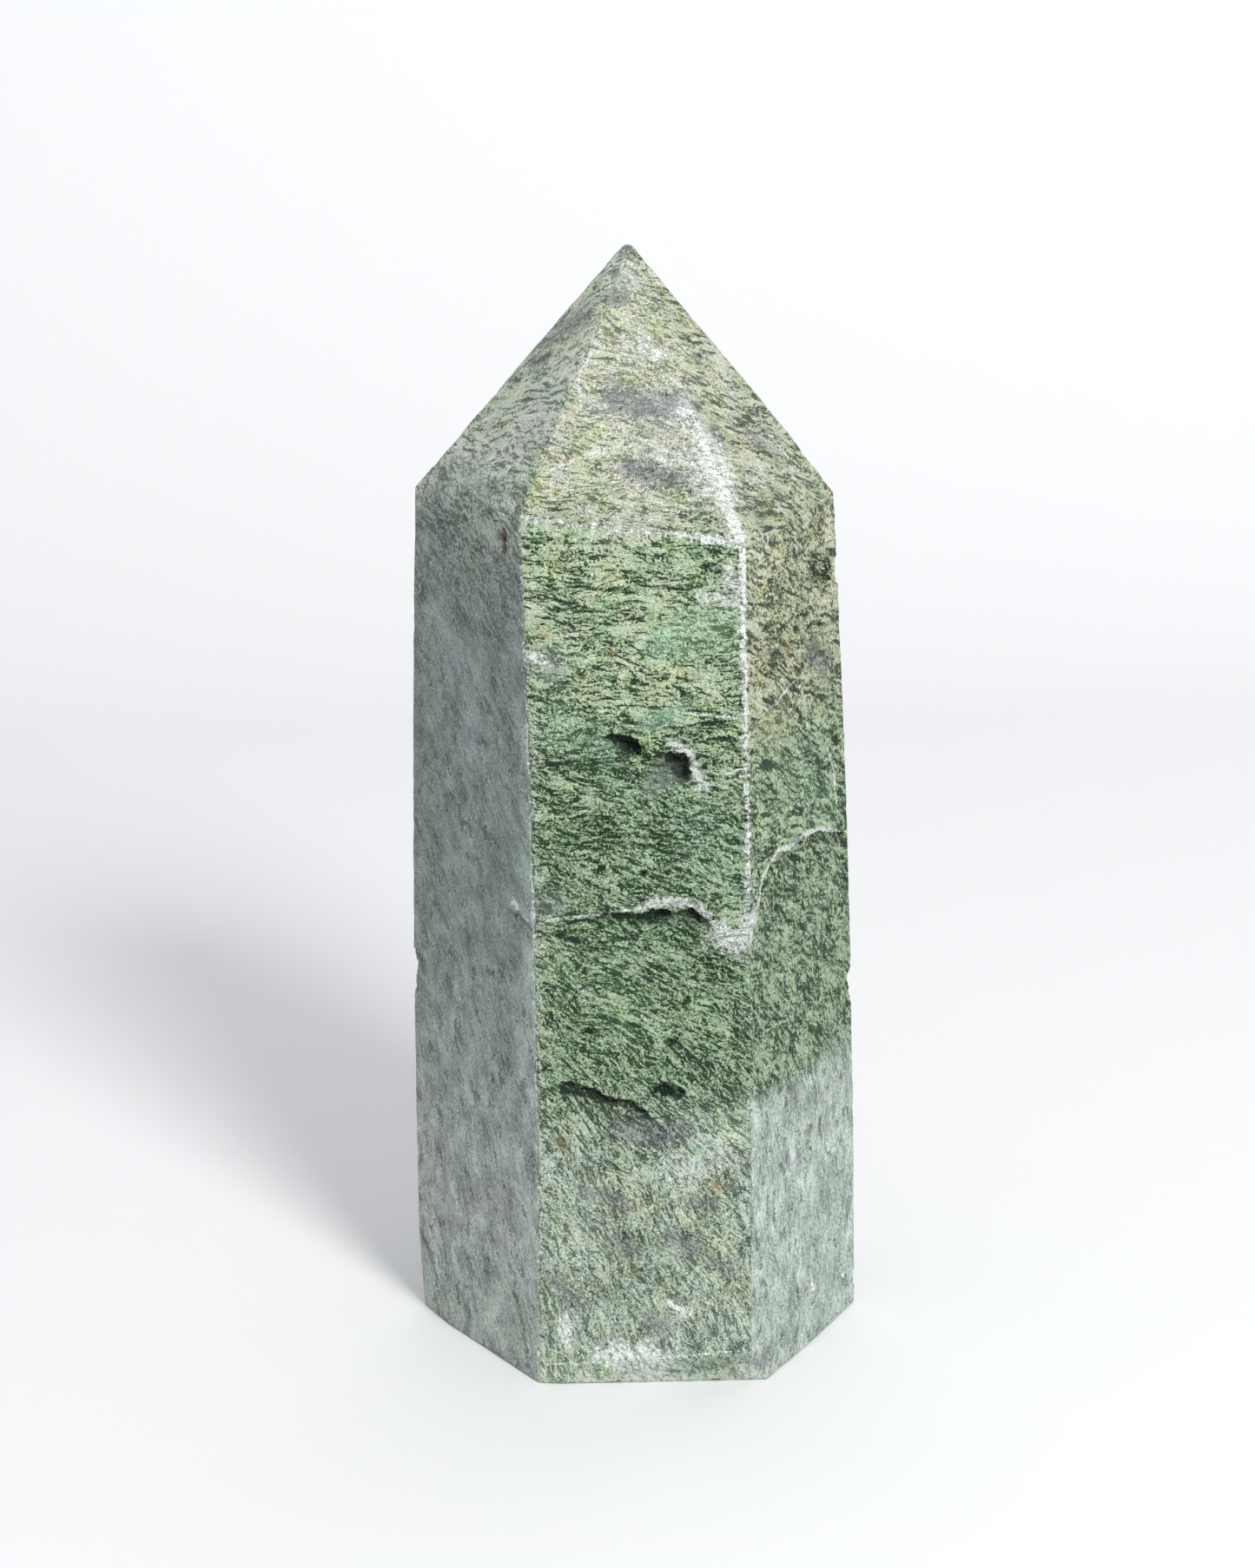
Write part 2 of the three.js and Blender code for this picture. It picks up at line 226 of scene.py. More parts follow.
# Beds of fibres that lie below their crests: length, thickness and height of the level and
# the upright ones, their noise, how deep they are, and how much they show beside an edge and
# at heights up the stone
LEVEL_BEDS = (2.4, 2.4, 0.75)
LEVEL_NOISE = ((0.7, 1.0, 21),)
UPRIGHT_BEDS = (0.8, 0.8, 2.2)
UPRIGHT_NOISE = ((0.7, 1.0, 22),)
UPRIGHT_SHARE = 0.7
BED_GRAIN = ((0.3, 0.7, 23),)
BED_DEPTH = 0.30
BED_CREST = 0.25
BED_SHARPNESS = 1.2
BEDS_FROM_EDGE = 0.8
BEDS_AT_EDGE = 0.2
BEDS_SHOWN = ((4, 0.3), (24, 0.5), (30, 1.0), (74, 1.0), (80, 0.6))

# How far a face has to turn to count as the front or the right side, and how fast it does
FRONT_FROM = 0.6
FRONT_BLEND = 6.0
RIGHT_FROM = -0.375
RIGHT_BLEND = 4.0

# Sharp marks in the colour: how far each reaches from its middle, then its path. A path is a
# row of stations, each the distance from a face's left edge and the height. It runs on the
# front until it names another face.
MARKS = {
    "chalk": (
        (1.0, (10.6, 86.9), (12.4, 85.9), (13.4, 85.0)),
        (2.6, (13.6, 84.4), (15.2, 82.6), (16.6, 81.0)), (1.6, "right", (1.2, 83.8), (1.8, 81.6)),
        (0.5, "right", (2.0, 80.7), "front", (18.4, 79.0), (18.9, 77.1)),
        (0.8, (4.8, 92.2), (6.8, 91.0)), (0.8, (15.4, 72.1), (18.4, 71.9)),
        (0.9, (17.6, 74.2), (18.6, 72.4)),
        (0.6, (12.4, 59.5), (13.8, 58.8), (14.3, 57.2), (15.1, 55.8)),
        (0.5, (9.2, 45.0), (11.2, 45.6), (13.6, 45.6), (15.3, 44.4)),
        (1.5, (16.2, 42.8), (17.6, 42.2), (18.8, 43.4), "right", (0.5, 44.0)),
        (1.5, (6.2, 3.2), (8.0, 3.4), (9.8, 3.6)), (0.8, (2.2, 6.4), (2.6, 4.2)),
        (0.7, (11.8, 8.4), (13.4, 7.6)), (0.5, (0.6, 66.9), (1.9, 66.2)),
        (0.5, "left", (17.2, 44.6), (18.0, 44.2)), (0.4, "narrow", (0.2, 5.6), (0.9, 5.2)),
        (0.4, "narrow", (6.8, 4.1), (7.6, 3.9)),
        (0.6, "back", (5.0, 61.0), (8.4, 63.2), (10.2, 62.2)),
        (0.6, "back_left", (14.0, 28.0), (16.2, 31.5)),
    ),
    "quartz": (
        (1.3, (4.4, 87.6), (6.9, 87.2), (9.2, 87.4)), (1.1, (7.8, 82.5), (9.8, 82.0), (12.1, 81.5)),
        (1.1, "left", (1.2, 91.6), (3.6, 94.0)), (0.7, "left", (1.4, 90.1), (3.3, 90.4)),
        (0.8, (0.9, 95.5), (1.9, 95.8)), (0.9, (0.1, 99.8), (1.0, 99.4)),
        (0.8, "right", (2.6, 85.0), (2.7, 83.9)), (0.9, "narrow", (0.3, 84.0), (2.5, 82.4)),
        (1.4, "narrow", (2.2, 64.9), (5.8, 63.2)), (0.7, "right", (7.1, 20.2), (7.6, 19.2)),
        (1.0, "right", (1.2, 2.6), (2.6, 2.4)), (1.3, (7.6, 24.6), (10.0, 24.4), (12.6, 24.6)),
        (0.9, (6.4, 18.3), (7.6, 17.6)), (0.8, (13.4, 18.2), (15.4, 18.1)),
        (0.8, (4.0, 18.8), (4.9, 18.3)), (0.8, (15.7, 12.3), (16.7, 12.0)),
        (0.9, (10.2, 6.5), (11.3, 6.0)), (1.1, (1.6, 10.0), (3.0, 8.4)),
        (1.2, (6.9, 14.1), (8.4, 13.5)), (1.2, (12.2, 14.4), (13.8, 13.8)),
        (1.6, "back", (4.4, 20.5), (7.8, 18.6)), (1.3, "back_right", (10.0, 68.0), (13.2, 66.0)),
    ),
    "rust": (
        (0.7, (1.8, 23.4), (2.2, 22.8)), (0.4, (8.4, 17.6), (8.7, 17.3)),
        (0.6, (15.6, 19.7), (16.4, 19.5)), (0.5, (3.6, 2.3), (4.6, 2.1)),
        (0.4, "left", (16.3, 35.9), (16.5, 35.5)), (0.3, "left", (18.9, 14.7), (18.9, 14.4)),
        (0.3, "left", (10.6, 5.9), (10.8, 5.7)), (0.5, "left", (16.1, 77.0), (16.2, 75.6)),
        (0.4, (7.0, 67.4), (7.6, 67.1)), (0.4, (1.2, 69.0), (1.9, 68.6)),
        (0.4, (2.2, 83.0), (3.0, 83.3)), (0.5, "right", (8.2, 66.4), (8.6, 65.4)),
    ),
    # Painted shadow under the ledges, in the pits and in darker bands across the front: it sinks
    # the fibres' height, which darkens their tone and their bump
    "painted_shadow": (
        (0.5, (0.7, 63.5), (2.6, 64.0), (4.4, 64.8)), (0.4, (0.7, 59.7), (3.4, 59.5), (5.8, 60.4)),
        (0.4, (0.6, 66.4), (2.7, 66.0)), (0.5, (9.4, 58.9), (10.6, 58.3)),
        (0.7, (12.6, 57.8), (13.3, 56.6)), (0.4, (12.4, 61.2), (13.0, 60.7)),
        (0.4, (0.6, 42.4), (3.2, 43.5), (6.7, 44.0), (9.6, 43.9), (11.6, 44.4)),
        (0.5, (11.6, 44.7), (12.4, 44.6)), (1.4, (2.0, 42.6), (8.0, 43.0), (13.4, 42.8)),
        (1.0, (3.0, 26.9), (9.6, 25.0)), (1.2, (1.0, 57.4), (9.0, 57.0)),
        (1.2, (2.0, 51.0), (14.0, 51.6)), (0.5, (14.2, 44.6), (15.1, 44.2)),
        (0.5, (2.2, 28.0), (5.0, 27.6), (7.4, 26.7), (9.6, 25.9)),
        (0.5, (10.4, 28.5), (11.8, 28.2)), (0.4, (12.2, 1.3), (13.2, 1.0)),
        (0.9, "narrow", (3.0, 72.6), (6.0, 72.5), (8.4, 71.9)),
        (0.4, "right", (10.3, 67.2), "narrow", (3.4, 66.5), (7.4, 65.4)),
        (0.4, "right", (7.0, 71.0), (7.2, 67.7)),
        (0.4, "right", (2.9, 46.2), (5.7, 47.4), (9.2, 47.4), (11.6, 47.8)),
        (0.4, "narrow", (1.0, 47.5), (4.4, 47.2), (9.4, 45.6)),
    ),
}

# Soft patches of the ground: colour, share, how calm the fibres lie, reach, and path
PATCHES = (
    ("teal", 0.8, 0.3, 1.9, (13.1, 68.6), (16.8, 69.2)),
    ("teal", 0.6, 0.3, 1.1, (10.5, 67.8), (12.5, 68.2)),
    ("teal", 0.6, 0.2, 1.8, (2.5, 60.6), (6.9, 59.2)),
    ("teal", 0.5, 0.1, 2.4, (14.0, 52.5), (17.0, 47.5)),
    ("pine", 0.5, 0.0, 2.2, (0.6, 48.8), (8.2, 50.4)),
    ("pine", 0.6, 0.0, 3.0, (6.0, 39.5), (14.0, 39.0)),
    ("pine", 0.5, 0.0, 2.4, (9.0, 47.8), (15.0, 48.6)),
    ("haze", 0.6, 0.5, 1.6, (0.6, 66.6), (2.6, 65.8)),
    ("frost", 0.4, 0.3, 2.4, (14.0, 22.2), (16.3, 24.3), (18.6, 26.0)),
    ("teal", 0.7, 0.6, 0.8, (10.0, 60.9), (11.6, 61.6), (13.0, 62.2)),
    ("haze", 0.6, 0.7, 1.2, (10.6, 55.8), (12.0, 56.9)),
    ("haze", 0.5, 0.5, 1.3, (2.0, 44.8), (0.6, 44.9)),
    ("teal", 0.2, 0.1, 3.2, "right", (5.5, 56.0), "narrow", (4.7, 51.5)),
    ("bark", 0.7, 0.0, 3.2, "right", (9.0, 73.5), "narrow", (6.0, 66.0)),
    ("bark", 0.6, 0.4, 1.6, "right", (3.4, 59.6), (7.0, 60.2)),
    ("mist", 0.7, 0.5, 1.2, (0.4, 97.6), (1.4, 97.0)),
    ("cream", 0.6, 0.1, 2.4, (5.0, 92.0), (12.0, 89.5)),
    ("haze", 0.7, 0.5, 2.4, (4.6, 87.4), (9.6, 87.0)),
    ("haze", 0.5, 0.4, 2.0, (8.0, 82.4), (12.2, 81.6)),
    ("slate", 0.6, 0.2, 1.8, "left", (4.0, 80.6), (13.0, 79.2)),
    ("bark", 0.6, 0.3, 2.0, "left", (1.6, 91.0), (4.0, 94.0)),
    ("haze", 0.2, 0.2, 3.0, "left", (6.0, 66.0), (13.0, 58.0)),
    ("mist", 0.5, 0.0, 1.4, "left", (19.0, 8.0), (20.2, 40.0), (19.4, 60.0)),
)

# Pale veins, and cracks darkened with painted shade: half width, and path
LINES = {
    "vein": (
        (0.19, (-0.2, 42.9), (1.4, 43.6), (3.9, 43.9), (6.3, 44.4), (8.8, 44.8), (11.2, 45.3),
         (13.4, 45.4), (15.1, 44.2), (16.1, 43.1)),
        (0.15, (13.2, 62.2), (16.0, 62.0), (18.8, 61.7)),
        (0.13, (9.0, 61.0), (11.4, 60.9), (13.0, 61.8)),
        (0.16, "right", (0.2, 63.6), (2.5, 62.4), (4.2, 61.6), (6.3, 61.9), (7.7, 62.5),
         (9.5, 63.0), (10.6, 62.4), "narrow", (0.3, 61.2), (1.2, 58.1), (1.7, 56.0)),
        (0.18, "right", (1.6, 58.0), "front", (19.0, 57.6), (18.0, 57.3), (16.4, 56.8)),
        (0.26, "narrow", (6.0, 55.2), (7.0, 53.2), (7.8, 49.4)),
        (0.3, "right", (0.3, 44.3), (1.9, 45.3), (2.9, 47.3), (5.5, 48.7), (9.1, 48.6),
         (11.2, 48.9), "narrow", (3.4, 48.5), (10.4, 46.4)),
        (0.2, "left", (12.0, 80.6), "front", (0.9, 82.2), (3.2, 83.3), (5.2, 84.1)),
        (0.16, (2.0, 86.4), (0.4, 89.6), (0.9, 92.6)),
        (0.14, "narrow", (2.0, 86.0), (4.0, 83.0), (5.0, 80.0)),
        (0.14, (0.4, 1.9), (8.0, 2.6), (18.8, 4.3)),
        (0.16, "left", (17.4, 43.7), (18.9, 43.5), (20.6, 43.3)),
        (0.12, "left", (0.4, 35.6), (2.2, 35.3)),
        (0.2, "back_right", (3.0, 30.0), (7.5, 36.0), (13.0, 38.5)),
        (0.18, "back", (3.0, 50.0), (9.5, 55.0), (16.0, 54.0)),
        (0.16, "back_left", (4.0, 66.0), (10.0, 61.0), (12.0, 54.0)),
    ),
    # Cracks, darkened with painted shade
    "crack_shade": (
        (0.5, (7.0, 60.0), (8.3, 59.5), (9.6, 58.9)), (0.5, (0.3, 44.7), (1.7, 44.4)),
        (0.2, (2.8, 43.3), (4.4, 43.6), (6.0, 43.8)), (0.26, (6.6, 44.0), (7.6, 44.0), (8.6, 44.2)),
        (0.85, (9.4, 43.9), (10.6, 44.1), (11.6, 44.4)),
        (0.6, (13.0, 44.4), (13.8, 44.5), (14.8, 44.0)),
        (0.36, (2.0, 42.4), (3.0, 42.0), (4.2, 42.0)),
        (0.26, (6.4, 42.2), (7.4, 42.1), (9.6, 42.4)),
        (0.6, (1.6, 28.4), (3.2, 28.4), (4.8, 27.8), (6.3, 27.2), (7.2, 26.8)),
        (0.44, (7.9, 27.3), (8.8, 26.8), (9.7, 26.1)),
        (0.8, (10.6, 28.3), (11.8, 28.6), (13.0, 28.0)),
        (0.14, (8.2, 25.9), (10.0, 25.8), (11.8, 26.0)), (0.24, (11.6, 1.5), (13.0, 1.4)),
        (0.16, (14.5, 74.6), (16.4, 74.9), (18.0, 75.8)),
        (0.14, (12.0, 72.9), (14.0, 72.7), (16.0, 73.4)),
        (0.18, (1.0, 72.4), (4.4, 72.9), (7.6, 72.5)), (0.16, (2.2, 70.9), (5.2, 71.2)),
        (0.18, (10.0, 61.0), (13.0, 60.9), (17.4, 61.6)),
        (0.2, (0.6, 57.6), (4.0, 57.4), (8.0, 57.9)),
        (0.16, (9.0, 53.4), (13.4, 52.9), (16.0, 54.0)), (0.16, (1.2, 54.0), (5.6, 53.6)),
        (0.16, (6.0, 33.8), (3.8, 33.4), (2.6, 34.0)), (0.16, (11.0, 32.9), (13.2, 32.5)),
        (0.16, (13.6, 38.9), (15.6, 38.4)), (0.18, "right", (7.1, 71.4), (7.5, 69.6), (7.1, 67.4)),
        (0.2, "right", (3.8, 76.0), (5.0, 74.0)), (0.16, "left", (14.3, 62.4), (14.9, 61.6)),
        (0.16, "left", (15.6, 61.4), (16.2, 60.2)), (0.16, "left", (18.4, 59.4), (18.9, 58.0)),
        (0.14, "left", (8.3, 58.9), (8.8, 58.2)),
    ),
}

# How badly each edge is scuffed, from its start to its end; the rest have UNSCUFFED
SCUFFS = {
    "front_right": ((0.0, 0.35), (0.5, 0.45), (0.62, 0.85), (0.8, 0.95), (1.0, 1.15)),
    "front_left": ((0.0, 0.58), (0.6, 0.52), (1.0, 0.62)),
    "narrow": ((0.0, 0.25), (0.5, 0.35), (1.0, 0.40)),
    "shoulder_front": ((0.0, 0.78), (0.4, 0.75), (0.6, 0.80), (0.8, 1.0), (1.0, 1.2)),
    "shoulder_left": ((0.0, 0.25), (1.0, 0.35)),
    "ridge_front_right": ((0.0, 1.5), (0.1, 1.9), (0.3, 1.3), (0.42, 0.5), (1.0, 0.35)),
    "ridge_narrow": ((0.0, 0.45), (1.0, 0.30)),
}
UNSCUFFED = ((0.0, 0.30), (1.0, 0.30))
SCUFF_REACH = 1.2

# Which way the fibres run on each side, in degrees above the horizontal to the right, at
# heights up the stone
FIBRES = {
    "left": ((0, -72), (40, -58), (70, -40), (80, -15), (90, 40)),
    "front": ((0, -60), (20, -55), (32, -36), (44, -14), (62, -5), (78, -5), (90, -25)),
    "right": ((0, -80), (24, -76), (30, -40), (50, -26), (66, -20), (78, -18), (90, -24)),
    "back_right": ((0, -70), (50, -50), (78, -30), (90, -35)),
    "back": ((0, -35), (50, -20), (78, -12), (90, -20)),
    "back_left": ((0, 60), (50, 70), (78, 50), (90, 30)),
}

# The steps in which the fibres change course, and how far chance turns them, in degrees
FIBRE_STEP = 22.0
FIBRE_SWAY = 42.0

# Ground colours
PALETTE = {
    "slate": (0.170, 0.220, 0.212),
    "fern": (0.132, 0.262, 0.124),
    "moss": (0.46, 0.64, 0.37),
    "pine": (0.096, 0.205, 0.096),
    "teal": (0.27, 0.48, 0.33),
    "bark": (0.33, 0.36, 0.20),
    "mist": (0.37, 0.45, 0.41),
    "sage": (0.38, 0.49, 0.40),
    "haze": (0.34, 0.38, 0.38),
    "cream": (0.87, 0.92, 0.73),
    "straw": (0.60, 0.67, 0.48),
    "frost": (0.76, 0.87, 0.78),
}

# The ground of each side: colour and how much the fibres stand out, at heights up the stone.
# The grey ground with calm fibres on the left face's column and low on the right face is partly
# the stone's grey and partly a painted reflection of the pale table
GROUNDS = {
    "left": ((0, "mist", 0.25), (12, "haze", 0.2), (40, "slate", 0.13), (66, "slate", 0.15),
             (76, "slate", 0.4), (79, "mist", 0.6), (83, "frost", 0.8), (92, "frost", 0.8)),
    "front": ((0, "frost", 0.5), (4, "sage", 0.6), (22, "sage", 0.75), (30, "fern", 0.9),
              (42, "fern", 0.9), (57, "fern", 1.0), (68, "moss", 1.0), (77, "moss", 1.0),
              (80, "cream", 0.75), (100, "cream", 0.65)),
    "right": ((0, "mist", 0.22), (26, "mist", 0.3), (28.5, "pine", 0.9), (46, "pine", 1.0),
              (50, "fern", 1.0), (57, "fern", 1.0), (64, "bark", 1.0), (80, "straw", 0.9),
              (100, "cream", 0.9)),
    "back_right": ((0, "sage", 0.5), (40, "fern", 0.8), (78, "moss", 0.9), (100, "cream", 0.7)),
    "back": ((0, "haze", 0.4), (40, "sage", 0.7), (78, "fern", 0.9), (100, "sage", 0.7)),
    "back_left": ((0, "haze", 0.2), (50, "slate", 0.3), (78, "haze", 0.5), (100, "sage", 0.6)),
}

# How the fields are laid: the wobble and full middle of the patches, the drift of the heights,
# where a side's own direction is read, how wide the sides blend, and the ends of thin lines
PATCH_WOBBLE = ((0.5, 2.4, 12),)
PATCH_MIDDLE = 1.5
HEIGHT_DRIFT = ((2.0, 7.0, 11),)
SIDE_SPOT = (1.0, 40.0)
SIDE_BLEND = 42.0
LEAST_WEIGHT = 1e-6
LINE_REACH = 0.9
LINE_TAPER = 8.0
LINE_END = 0.3
LINE_FADE = 4.0
SUNK_LIMIT = 2.0

# Faces flatter than the limit have no level direction of their own, and the fibres are drawn
# coarser on the sides
LEVEL_LIMIT = 0.05
COARSER_SIDES = 0.45

# How a seed shifts a noise, the rise over which a face's slope is read, the stations along
# an edge, and a distance beyond the stone
SEED_STEPS = (17.3, 5.1, 9.7)
STEP_UP = 0.5
EDGE_STATIONS = 9
FAR = 1e9
LAYER_KEYS = {"FLOAT": "value", "FLOAT_VECTOR": "vector", "FLOAT_COLOR": "color"}

# Noises drawn out along the fibres: length, thickness, detail, roughness and seed
STRANDS = {
    "gaps": (1.9, 0.75, 4.0, 0.88, 1),
    "broad": (4.2, 1.3, 2.0, 0.6, 2),
    "slits": (2.2, 0.32, 2.0, 0.6, 3),
    "threads": (2.4, 0.45, 2.0, 0.6, 4),
    "mottle": (2.0, 1.2, 4.0, 0.68, 5),
    "pocks": (1.6, 0.8, 3.0, 0.6, 6),
}
STRAND_STEPS = (7.1, 3.3, 5.7)
# The shift towards the key light at which the gaps are drawn a second time, for a painted emboss:
# paler on slopes that face the light, painted shade on those that face away
LIT_FROM = (0.10, 0.20, 0.0)
THREAD_WIDTH = 0.045

# Other noises: scale, detail and roughness, and for the bends how far they push. They turn
# the fibres, speckle the stone, fray its marks and cloud its colour.
COURSES = (0.55, 3.0, 0.6)
GRAINS = (4.6, 2.0, 0.85)
RAGS = (2.6, 4.0, 0.7)
CLOUDS = (0.35, 4.0, 0.6)
BENDS = ((0.18, 1.0, 0.5, 1.8), (1.6, 3.0, 0.7, 0.35))

# Where the soft borders of the marks begin and end, and how ragged they are, and the same
# ends for thin lines, pocks, slits and broken places
BORDERS = {
    "chalk": (0.45, 0.75, 2.4),
    "quartz": (0.45, 0.75, 2.4),
    "rust": (0.4, 1.1, 2.4),
    "painted_shadow": (0.35, 1.0, 1.6),
    "scuff": (0.5, 0.8, 2.6),
}
LINE_BORDER = (-0.03, 0.15)
POCK_RANGE = (0.56, 0.50)
SLIT_RANGE = (0.43, 0.36)
# The depths over which the broken places turn to painted shade
SUNK_RANGE = (0.25, 1.1)

# What raises the fibres and what lightens the ground, each with its weight. The height also
# sets the tone of the fibres, so what sinks it, such as the painted shadow, slits and cracks,
# darkens them as painted shade
RELIEF = {
    "base": -1.455, "gaps": 1.25, "broad": 0.8, "speck": 1.2, "threads": 0.34, "lift": 0.7,
    "pit": -0.45, "slit": -0.35, "painted_shadow": -0.15, "crack_shade": -0.30,
}
SHADING = {"base": -0.28, "mottle": 1.2, "speck": 1.8, "cool": -1.4}
LOWER_TONES = (0.255, 0.48)
UPPER_TONES = (0.48, 0.72)

# Tints of the ground: the noise that lays them, where they lie, its range, share and colour
TINTS = (
    ("warm", "moss", 0.47, 0.62, 0.8, (1.10, 1.0, 0.72, 1.0)),
    ("amber", "all_moss", 0.52, 0.70, 0.6, (1.28, 0.98, 0.62, 1.0)),
    ("cool", "moss", 0.48, 0.64, 0.8, (0.70, 0.88, 0.76, 1.0)),
)

# What the ground is multiplied by in its deepest gaps, partly the dark fibres and partly painted
# shade, the gleam of its crests, partly pale fibres and partly a painted highlight, and the
# colours that cover it, among them painted shade in the slits and in the hollows and cracks
DARK_FIBRE_AND_SHADE = (0.07, 0.13, 0.09, 1.0)
PALE_AND_HIGHLIGHT = (0.90, 1.0, 0.76, 1.0)
QUARTZ = (0.185, 0.198, 0.205, 1.0)
SLIT_SHADE = (0.03, 0.055, 0.035, 1.0)
HOLLOW_SHADE = (0.018, 0.032, 0.033, 1.0)
RUST = (0.42, 0.24, 0.09, 1.0)
CHALK = (0.92, 0.955, 0.93, 1.0)

# The polish: roughness where no fibres show, refraction, shine, and depth of the bump
POLISH = 0.35
STONE_IOR = 1.54
STONE_SHINE = 0.3
BUMP = 0.0007

# Camera: place, tilt down and roll in degrees, and lens
CAMERA_AT = (-0.13, -275.88, 122.71)
CAMERA_TILT = 14.5
CAMERA_ROLL = 1.0
LENS = 71.8

# Key light: where it stands seen from the stone, how far and how wide in metres, and the
# light all round
KEY_AZIMUTH = 27.0
KEY_HEIGHT = 33.0
KEY_DISTANCE = 0.9
KEY_SIZE = 0.27
KEY_POWER = 7.2
SKY = 0.57
SKY_COLOUR = (0.965, 0.972, 1.0, 1.0)

# The table runs flat behind the stone and then curves up into the backdrop, in metres
TABLE_BACK = 0.24
SWEEP_RADIUS = 0.14
BACKDROP_TOP = 1.2
STAGE_HALF_WIDTH = 1.6
STAGE_FRONT = -0.9
SWEEP_STEPS = 24
STAGE_COLOUR = (0.86, 0.865, 0.87)
STAGE_ROUGHNESS = 0.7


def unit(vector):
    return vector / np.linalg.norm(vector)


def edge_point(name, height):
    """The point at a height on one edge of the column, or on its ridge above the shoulder."""
    foot, shoulder, swell = (np.array(part, float) for part in EDGES[name])
    rise = height / shoulder[2]
    if rise <= 1:
        plan = foot + (shoulder[:2] - foot) * rise + swell * 4 * rise * (1 - rise)
        return np.array([*plan, height])
    climb = (height - shoulder[2]) / (APEX[2] - shoulder[2])
    return shoulder + (np.array(APEX) - shoulder) * climb


def face_frame(face, across, height):
    """A spot on a face: its place, and the directions right along the face, up and outward."""
    start, end = (edge_point(name, height) for name in FACES[face][:2])
    above = [edge_point(name, height + STEP_UP) for name in FACES[face][:2]]
    right = unit(end - start)
    outward = unit(np.cross(right, above[0] + above[1] - start - end))
    return start + right * across, np.array([right, np.cross(outward, right), outward])


def edge_frame(name, height):
    """A spot on an edge of the column, with outward straight from the middle of the stone."""
    spot = edge_point(name, height)
    outward = unit(np.array([spot[0], spot[1], 0.0]))
    up = np.array([0.0, 0.0, 1.0])
    return spot, np.array([np.cross(up, outward), up, outward])


def plane_through(a, b, c):
    """Normal and offset of the plane through three points, anticlockwise from outside."""
    a, b, c = (np.array(point, float) for point in (a, b, c))
    normal = unit(np.cross(b - a, c - a))
    return normal, normal @ a


def point_planes():
    """The planes that the point is ground to."""
    planes = []
    for face, (start, end, _) in FACES.items():
        meeting = NARROW_END if face == "narrow" else APEX
        planes.append(plane_through(EDGES[start][1], EDGES[end][1], meeting))
    planes.append(plane_through(*WORN_RIDGE))
    planes.append(plane_through(*TIP_NICK))
    planes.append((np.array([0.0, 0.0, 1.0]), HEIGHT))
    return planes


def spaced(length, cells):
    """Places along a length, with two finer cells at each end."""
    fine, next_fine = NEAR_EDGE
    middle = np.linspace(next_fine, length - next_fine, cells - 3)
    return np.concatenate([[0.0, fine], middle, [length - fine, length]]) / length


def foot_to_shoulder():
    """Rings of points up the column, each a row of (x, y, z)."""
    rings = []
    for rise in spaced(COLUMN_LENGTH, COLUMN_ROWS):
        ring = []
        for start, end, cells in FACES.values():
            corners = [edge_point(name, rise * EDGES[name][1][2]) for name in (start, end)]
            width = np.linalg.norm(corners[1] - corners[0])
            for share in spaced(width, cells)[:-1]:
                ring.append(corners[0] + (corners[1] - corners[0]) * share)
        rings.append(np.array(ring))
    return rings


def shoulder_to_tip(shoulder_ring):
    """Rings of points up the point of the stone, with fewer cells as they shrink."""
    planes = point_planes()
    rings = []
    for share in 1 - spaced(POINT_LENGTH, POINT_ROWS)[1:-1]:
        step = next(step for least, step in THINNING if share > least)
        plan = np.array(APEX[:2]) + (shoulder_ring[::step, :2] - APEX[:2]) * share
        heights = [(offset - plan @ normal[:2]) / normal[2] for normal, offset in planes]
        rings.append(np.column_stack([plan, np.min(heights, axis=0)]))
    return rings


def base_rings(foot_ring):
    """Rings of points across the flat base, from the foot towards the middle."""
    return [foot_ring[::step] * (share, share, 1.0) for share, step in BASE_RINGS]


def join_rings(bm, lower, upper):
    """Faces between two rings of vertices, where the upper may have half as many."""
    count = len(lower)
    step = count // len(upper)
    for spot in range(0, count, step):
        following = (spot + step) % count
        here = upper[spot // step]
        there = upper[following // step]
        if step == 1:
            bm.faces.new((lower[spot], lower[following], there, here))
        else:
            middle = lower[spot + 1]
            bm.faces.new((lower[spot], middle, here))
            bm.faces.new((middle, there, here))
            bm.faces.new((middle, lower[following], there))


def blank_mesh():
    """The ground stone before any wear, as a closed mesh of small cells."""
    bm = bmesh.new()
    column = foot_to_shoulder()
    upward = column + shoulder_to_tip(column[-1])
    rows = [[bm.verts.new(point) for point in ring] for ring in upward]
    for lower, upper in zip(rows, rows[1:]):
        join_rings(bm, lower, upper)
    tip = bm.verts.new((APEX[0], APEX[1], HEIGHT))
    close_ring(bm, rows[-1], tip)
    under = [[bm.verts.new(point) for point in ring] for ring in base_rings(column[0])]
    lower_rows = [rows[0], *under]
    for outer, inner in zip(lower_rows, lower_rows[1:]):
        join_rings(bm, outer, inner)
    close_ring(bm, under[-1], bm.verts.new((0.0, 0.0, 0.0)))
    bmesh.ops.recalc_face_normals(bm, faces=bm.faces)
    return bm


def close_ring(bm, ring, middle):
    """A fan from a ring of vertices to one in its middle."""
    for spot, vertex in enumerate(ring):
        bm.faces.new((vertex, ring[(spot + 1) % len(ring)], middle))


def local(points, place):
    """Points in the frame of a spot."""
    spot, axes = place
    return (points - spot) @ axes.T


